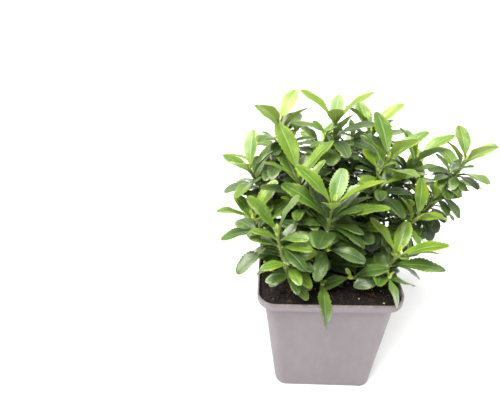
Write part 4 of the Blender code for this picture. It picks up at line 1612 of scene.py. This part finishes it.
twigFinish = {
    "tone": (118, 134, 62),
    "second": (84, 100, 46),
    "scale": 120.0,
    "stretch": 0.4,
    "share": (0.3, 0.7),
    "rough": (0.38, 0.52),
    "relief": 0.3,
    "depth": 0.1 * mm,
}
budFinish = {
    "tone": (190, 206, 88),
    "second": (150, 180, 66),
    "scale": 420.0,
    "stretch": 0.5,
    "share": (0.35, 0.65),
    "rough": (0.4, 0.55),
    "relief": 0.3,
    "depth": 0.1 * mm,
}


def sweep(line, directions, radii, angle):
    # Points on rings across a line: the line's point plus the radius along each angle
    return line[:, None] + radii[..., None] * ringsOf(*across(directions), angle)


def stemSurface(axis, seed):
    # The limb's radius times a relief: fissures are the sine of the angle, which wanders
    # along the stem; lumps are noise; scars swell as a bell curve at each old node
    form = stemForm
    low = -form["below"] if axis["rooted"] else axis["first"] * form["boughFrom"]
    rings = max(form["fewestRings"], int((axis["leafy"] - low) / form["step"]))
    marks = np.linspace(low, axis["leafy"] + form["beyond"], rings)
    line = at(axis, np.maximum(marks, 0))
    directions = heading(axis, np.maximum(marks, 0))
    line = line + directions * np.minimum(marks, 0)[:, None]
    angle = aroundAngles(form["sides"])
    plain = radiusAt(axis, np.maximum(marks, 0))[:, None] + 0 * angle[None]
    skin = sweep(line, directions, plain, angle)
    wander = form["wander"] * latticeNoise(line, form["wanderScale"], seed)[:, None]
    fissure = np.abs(np.sin(form["fissureTurns"] * angle[None] + wander)) - form["fissureLevel"]
    lump = latticeNoise(skin, form["lumpScale"], seed + 1)
    toScar = (marks - axis["leafy"]) % form["scarEvery"]
    toScar = np.minimum(toScar, form["scarEvery"] - toScar)
    scar = np.exp(-((toScar / form["scarWide"]) ** 2))[:, None]
    relief = 1 + form["fissures"] * fissure + form["lumps"] * lump + form["scars"] * scar
    return sweep(line, directions, plain * relief, angle)


def joinRings(pieces):
    # Closed tubes side by side in one mesh
    points, faces, first = [], [], 0
    for rings in pieces:
        count, size = rings.shape[:2]
        points.append(rings.reshape(-1, 3))
        faces += ringFaces(count, size, first) + capFaces(count, size, first)
        first += count * size
    return np.concatenate(points), faces


def makeStems():
    pieces = [stemSurface(axis, stemForm["seed"] + index) for index, axis in enumerate(axes.values())]
    points, faces = joinRings(pieces)
    bark = mottled("greenBark", barkFinish)[0]
    made = putMesh("woodyStems", points, faces, [bark])
    names = [("stem_" if axis["rooted"] else "bough_") + name for name, axis in axes.items()]
    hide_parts(*names)


def leaderSurface(axis):
    # Four-angled: the radius swells by a cosine of four times the angle, and at each node
    form = twigForm
    marks = np.arange(axis["leafy"] - form["overlap"], axis["length"], form["step"])
    angle = aroundAngles(form["sides"])
    away = np.abs(marks[:, None] - np.array(leafNodes(axis))[None]).min(axis=1)
    node = np.exp(-((away / form["nodeWide"]) ** 2))
    ridges = -np.cos(4 * (angle[None] - math.radians(axis["turn"])))
    relief = 1 + form["ridge"] * ridges + form["node"] * node[:, None]
    return sweep(at(axis, marks), heading(axis, marks), radiusAt(axis, marks)[:, None] * relief, angle)


def twigSurface(twig):
    # Four-angled and tapered, along the quadratic curve through its three points
    form = twigForm
    root, middle, end = twig["line"][0][:3]
    t = np.linspace(0, 1, form["fineRings"])[:, None]
    bend = 2 * middle - (root + end) / 2
    line = (1 - t) ** 2 * root + 2 * t * (1 - t) * bend + t * t * end
    directions = unit((1 - t) * (bend - root) + t * (end - bend))
    angle = aroundAngles(form["fineSides"])
    ridges = -np.cos(4 * (angle[None] - twig["turn"]))
    swell = sum(np.exp(-(((t - spot) / wide) ** 2)) for spot, wide in form["fineNodes"])
    whole, less = form["fineTaper"]
    relief = 1 + form["ridge"] * ridges + form["fineNode"] * swell
    return sweep(line, directions, twig["radius"] * (whole - less * t) * relief, angle)


def makeTwigs():
    pieces = [leaderSurface(axis) for axis in axes.values()] + [twigSurface(twig) for twig in twigs]
    points, faces = joinRings(pieces)
    made = putMesh("greenTwigs", points, faces, [mottled("greenTwig", twigFinish)[0]])
    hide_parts(*["leaves_" + name for name in axes])


budForm = {
    "rings": 14,
    "sides": 12,
    "profileAt": (0, 0.12, 0.3, 0.5, 0.7, 0.88, 1),
    "profile": (0.8, 1.05, 1.2, 1.1, 0.8, 0.4, 0.06),
    "scalePairs": 3.0,
    "scaleLift": 0.12,
    "sunk": 0.3 * mm,
    "twigSize": 0.7,
    "sideFromPair": 2,
    "sideSize": 0.5,
    "sideUp": 1.0 * mm,
    "sideOut": 0.7 * mm,
    "sideLean": 0.6,
}


def budSurface(tip, direction, size, turn):
    # A pointed egg of overlapping scales: the radius follows a smooth profile and swells
    # by a cosine of twice the angle that turns a quarter at each pair of scales
    form = budForm
    t = np.linspace(0, 1, form["rings"])
    profile = np.interp(t, form["profileAt"], form["profile"]) * mm
    angle = aroundAngles(form["sides"])
    scales = np.cos(2 * (angle[None] - turn) + math.pi * np.floor(t * form["scalePairs"])[:, None])
    radii = size * profile[:, None] * (1 + form["scaleLift"] * scales * np.sin(math.pi * t)[:, None])
    line = tip[None] + direction[None] * (t[:, None] * size * bush["budLength"] - form["sunk"])
    return sweep(line, np.repeat(direction[None], len(t), axis=0), radii, angle)


def sideBud(axis, mark, turn):
    # A small bud in the angle above an older leaf
    upShoot = heading(axis, mark)
    out = outAt(upShoot, turn)
    place = at(axis, mark + budForm["sideUp"]) + out * budForm["sideOut"]
    return budSurface(place, unit(upShoot + budForm["sideLean"] * out), budForm["sideSize"], turn)


def makeBuds():
    pieces = []
    for axis in axes.values():
        pieces.append(budSurface(axis["end"], headingOn(axis, 1), 1.0, math.radians(axis["turn"])))
    for twig in twigs:
        tip, beyond = twig["line"][0][2:4]
        size = budForm["twigSize"] * twig["radius"] / twigRule["radius"]
        pieces.append(budSurface(tip, unit(beyond - tip), size, twig["turn"]))
    older = budForm["sideFromPair"]
    for axis in axes.values():
        for pair, mark in enumerate(leafNodes(axis)[older:], older):
            pieces += [sideBud(axis, mark, turnOf(axis, pair, side)) for side in range(2)]
    points, faces = joinRings(pieces)
    made = putMesh("leafBuds", points, faces, [mottled("budScales", budFinish)[0]])
    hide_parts(*["leaves_" + name for name in axes])


makeStems()
makeTwigs()
makeBuds()
print("stems, twigs and buds made")


# Soil: the CAD soil's dips, with lumps and grains worked into a fine grid
soilForm = {
    "dip": 1.4 * mm,
    "plot": 5 * mm,
    "fade": 7 * mm,
    "rings": 95,
    "arcSteps": 16,
    "sideSteps": 46,
    "waves": ((150.0, 1.1), (120.0, -0.6), (260.0, 2.0)),
    "slantShare": 0.6,
    "dipLevel": 0.5,
    "dipShare": 0.4,
    "lumps": ((90.0, 0.7 * mm), (260.0, 0.55 * mm), (700.0, 0.4 * mm), (1500.0, 0.25 * mm)),
    "seed": 200,
    "innermost": 0.012,
    "edgeFade": 0.05,
    "edgeGrain": 0.3,
    "leastRise": 0.2 * mm,
    "sharpAngle": 75,
}
soilFinish = {
    "tone": (34, 25, 22),
    "second": (14, 11, 11),
    "scale": 420.0,
    "stretch": 1.0,
    "share": (0.38, 0.62),
    "rough": (0.85, 1.0),
    "relief": 0.9,
    "depth": 0.5 * mm,
}
crumbFinish = dict(soilFinish, tone=(50, 37, 31), second=(20, 16, 15), scale=300.0)
perliteFinish = dict(soilFinish, tone=(226, 218, 196), second=(188, 172, 138), scale=500.0, relief=0.4)
chipFinish = dict(soilFinish, tone=(108, 70, 56), second=(60, 42, 36), scale=260.0, stretch=0.5, relief=0.6)
fibreFinish = dict(soilFinish, tone=(116, 86, 60), second=(66, 48, 36), scale=200.0, relief=0.4)

# Bits on the soil: piece, how many, seed, smallest and largest radius, how many radii the
# middle stands above the soil, and the finish
soilBits = (
    ("soilCrumbs", 1500, 301, (0.35 * mm, 1.15 * mm), 0.25, crumbFinish),
    ("whiteGrit", 58, 302, (0.2 * mm, 0.8 * mm), 0.3, perliteFinish),
    ("barkChips", 20, 303, (0.8 * mm, 2.7 * mm), 0.0, chipFinish),
)
bitForm = {
    "rings": 5,
    "sides": 7,
    "polar": (0.12, 0.88),
    "stretch": (0.6, 1.3),
    "flatten": (1, 1, 0.75),
    "uneven": 0.28,
    "rimMargin": 1.5,
    "spread": 0.97,
    "sharpAngle": 55,
}
fibreForm = {
    "count": 140,
    "seed": 311,
    "rimMargin": 1.2 * mm,
    "spread": 0.88,
    "points": 9,
    "sides": 5,
    "length": (4, 13),
    "curl": 2.2,
    "lift": (0.1, 0.9),
    "radius": (0.1, 0.24),
    "taper": 0.6,
}


def soilHeight(x, y):
    # The source's dips: a sine across times a cosine from front to back, with a slanting
    # sine added, kept from 0 to 1 and faded out round each rooted stem
    (acrossScale, acrossShift), (deepScale, deepShift), (slantScale, slantShift) = soilForm["waves"]
    wave = np.sin(acrossScale * x + acrossShift) * np.cos(deepScale * y + deepShift)
    wave = wave + soilForm["slantShare"] * np.sin(slantScale * (x + y) + slantShift)
    dip = soilForm["dip"] * np.clip(soilForm["dipLevel"] + soilForm["dipShare"] * wave, 0, 1)
    for axis in axes.values():
        if axis["rooted"]:
            away = np.hypot(x - axis["start"][0], y - axis["start"][1])
            dip = dip * np.clip((away - soilForm["plot"]) / soilForm["fade"], 0, 1)
    return bush["soilTop"] - dip


def grain(x, y):
    # Lattice noise of four sizes, added up
    flat = np.stack([x, y, 0 * x], axis=-1)
    total = 0.0
    for index, (scale, size) in enumerate(soilForm["lumps"]):
        total = total + size * latticeNoise(flat, scale, soilForm["seed"] + index)
    return total


def makeSoil():
    # The block's side steps out over the pot's ledge; its top has the dips, lumps and grains
    gap, step = bush["gap"], potLedge + bush["gap"]
    edge = bush["soilTop"] - soilForm["dip"]
    floor, top = potForm["floor"], potForm["height"]
    steps = (soilForm["arcSteps"], soilForm["sideSteps"])
    sides = []
    for wallHeight, z in ((floor, floor + gap), (potLedge, step), (top, step)):
        half, corner = innerWall(wallHeight)
        loop = roundedSquare(half - gap, corner - gap, *steps)
        sides.append(np.concatenate([loop, np.full(loop.shape[:2] + (1,), z)], axis=-1))
    share = np.linspace(1.0, soilForm["innermost"], soilForm["rings"])
    half, corner = innerWall(top)
    flat = roundedSquare(share * (half - gap), share * (corner - gap), *steps)
    x, y = flat[..., 0], flat[..., 1]
    fade = np.clip((1 - share) / soilForm["edgeFade"], 0, 1)[:, None]
    height = edge + (soilHeight(x, y) - edge) * fade
    height = height + grain(x, y) * np.clip(fade + soilForm["edgeGrain"], 0, 1)
    upper = np.stack([x, y, np.maximum(height, step + soilForm["leastRise"])], axis=-1)
    points, faces = joinRings([np.concatenate(sides + [upper])])
    sharp = math.radians(soilForm["sharpAngle"])
    made = putMesh("pottingSoil", points, faces, [mottled("darkSoil", soilFinish)[0]], sharp=sharp)
    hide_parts("soil")


def insideRim(x, y, margin):
    # Places beyond the rounded square of the rim, less a margin, are drawn in to it
    half, corner = innerWall(potForm["height"])
    straight = half - corner
    beyondX, beyondY = np.maximum(np.abs(x) - straight, 0), np.maximum(np.abs(y) - straight, 0)
    beyond = np.maximum(np.hypot(beyondX, beyondY), mm)
    kept = np.minimum(1, (corner - margin) / beyond)
    x = np.sign(x) * (np.minimum(np.abs(x), straight) + beyondX * kept)
    y = np.sign(y) * (np.minimum(np.abs(y), straight) + beyondY * kept)
    return x, y


def scattered(count, seed, margin, spread):
    # Random places on the soil, inside the rim
    rng = np.random.default_rng(seed)
    half = innerWall(potForm["height"])[0] * spread
    x, y = insideRim(*rng.uniform(-half, half, (2, count)), margin)
    return rng, np.stack([x, y, soilHeight(x, y) + grain(x, y)], axis=-1)


def bitRings(centres, sizes, rng):
    # Uneven balls: a sphere's rings turned about the upright, each point pushed in or out
    # by noise, stretched along each axis and squashed a little
    form = bitForm
    count, rings, sides = len(centres), form["rings"], form["sides"]
    t = np.linspace(*form["polar"], rings)[:, None] * math.pi
    a = aroundAngles(sides)[None]
    x, y, z = np.sin(t) * np.cos(a), np.sin(t) * np.sin(a), -np.cos(t) + 0 * a
    stretch = rng.uniform(*form["stretch"], (count, 1, 1, 3)) * form["flatten"]
    turn = rng.uniform(0, math.tau, count)[:, None, None]
    spun = np.stack([
        x * np.cos(turn) - y * np.sin(turn),
        x * np.sin(turn) + y * np.cos(turn),
        np.broadcast_to(z, (count, rings, sides)),
    ], axis=-1)
    rough = 1 + form["uneven"] * rng.uniform(-1, 1, (count, rings, sides, 1))
    return centres[:, None, None] + sizes[:, None, None, None] * spun * stretch * rough


def makeBits(name, count, seed, sizes, rise, finish):
    # A scatter of uneven balls, half sunk or resting on the soil
    rng, centres = scattered(count, seed, bitForm["rimMargin"] * sizes[1], bitForm["spread"])
    radii = rng.uniform(*sizes, count)
    centres[:, 2] += radii * rise
    points, faces = joinRings(list(bitRings(centres, radii, rng)))
    sharp = math.radians(bitForm["sharpAngle"])
    made = putMesh(name, points, faces, [mottled(name + "Stuff", finish)[0]], sharp=sharp)
    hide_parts("soil")


def makeFibres():
    # Root and peat fibres: thin tubes along an even bend that lies on the soil and lifts
    # by a half sine; the radius tapers to the far end
    form = fibreForm
    rng, starts = scattered(form["count"], form["seed"], form["rimMargin"], form["spread"])
    t = np.linspace(0, 1, form["points"])
    angle = aroundAngles(form["sides"])
    pieces = []
    for start in starts:
        way = rng.uniform(0, math.tau)
        stride = rng.uniform(*form["length"]) * mm / form["points"]
        bearings = way + rng.uniform(-form["curl"], form["curl"]) * t
        x = start[0] + np.cumsum(np.cos(bearings)) * stride
        y = start[1] + np.cumsum(np.sin(bearings)) * stride
        x, y = insideRim(x, y, form["rimMargin"])
        lift = rng.uniform(*form["lift"]) * mm * np.sin(math.pi * t)
        line = np.stack([x, y, soilHeight(x, y) + grain(x, y) + lift], axis=-1)
        ends = np.concatenate([line[:1] * 2 - line[1:2], line, line[-1:] * 2 - line[-2:-1]])
        directions = unit(ends[2:] - ends[:-2] + (0, 1e-7, 0))
        radius = rng.uniform(*form["radius"]) * mm * (1 - form["taper"] * t)
        first = unit(np.cross(directions, np.cross(upward, directions) + 1e-9))
        rings = ringsOf(first, np.cross(directions, first), angle)
        pieces.append(line[:, None] + radius[:, None, None] * rings)
    points, faces = joinRings(pieces)
    made = putMesh("soilFibres", points, faces, [mottled("brownFibre", fibreFinish)[0]])
    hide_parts("soil")


makeSoil()
for bitRow in soilBits:
    makeBits(*bitRow)
makeFibres()
print("soil made")


# Floor: a wide pale disc under the pot
def makeFloor():
    sides, radii = studio["floorSides"], np.array(studio["floorRings"])
    angle = aroundAngles(sides)
    rim = np.stack([np.cos(angle), np.sin(angle), 0 * angle], axis=-1)
    points = (radii[:, None, None] * rim[None]).reshape(-1, 3)
    mesh = bpy.data.meshes.new("paleFloor")
    outer = [face[::-1] for face in ringFaces(len(radii), sides)]  # Turned to face up
    mesh.from_pydata(points.tolist(), [], outer + [list(range(sides))])
    made = bpy.data.objects.new("paleFloor", mesh)
    bpy.context.scene.collection.objects.link(made)
    material, tree, shader = newMaterial("paleFloor", 0.9)
    tone = studio["floorTone"]
    shader.inputs["Base Color"].default_value = (tone, tone, tone, 1.0)
    mesh.materials.append(material)


makeFloor()
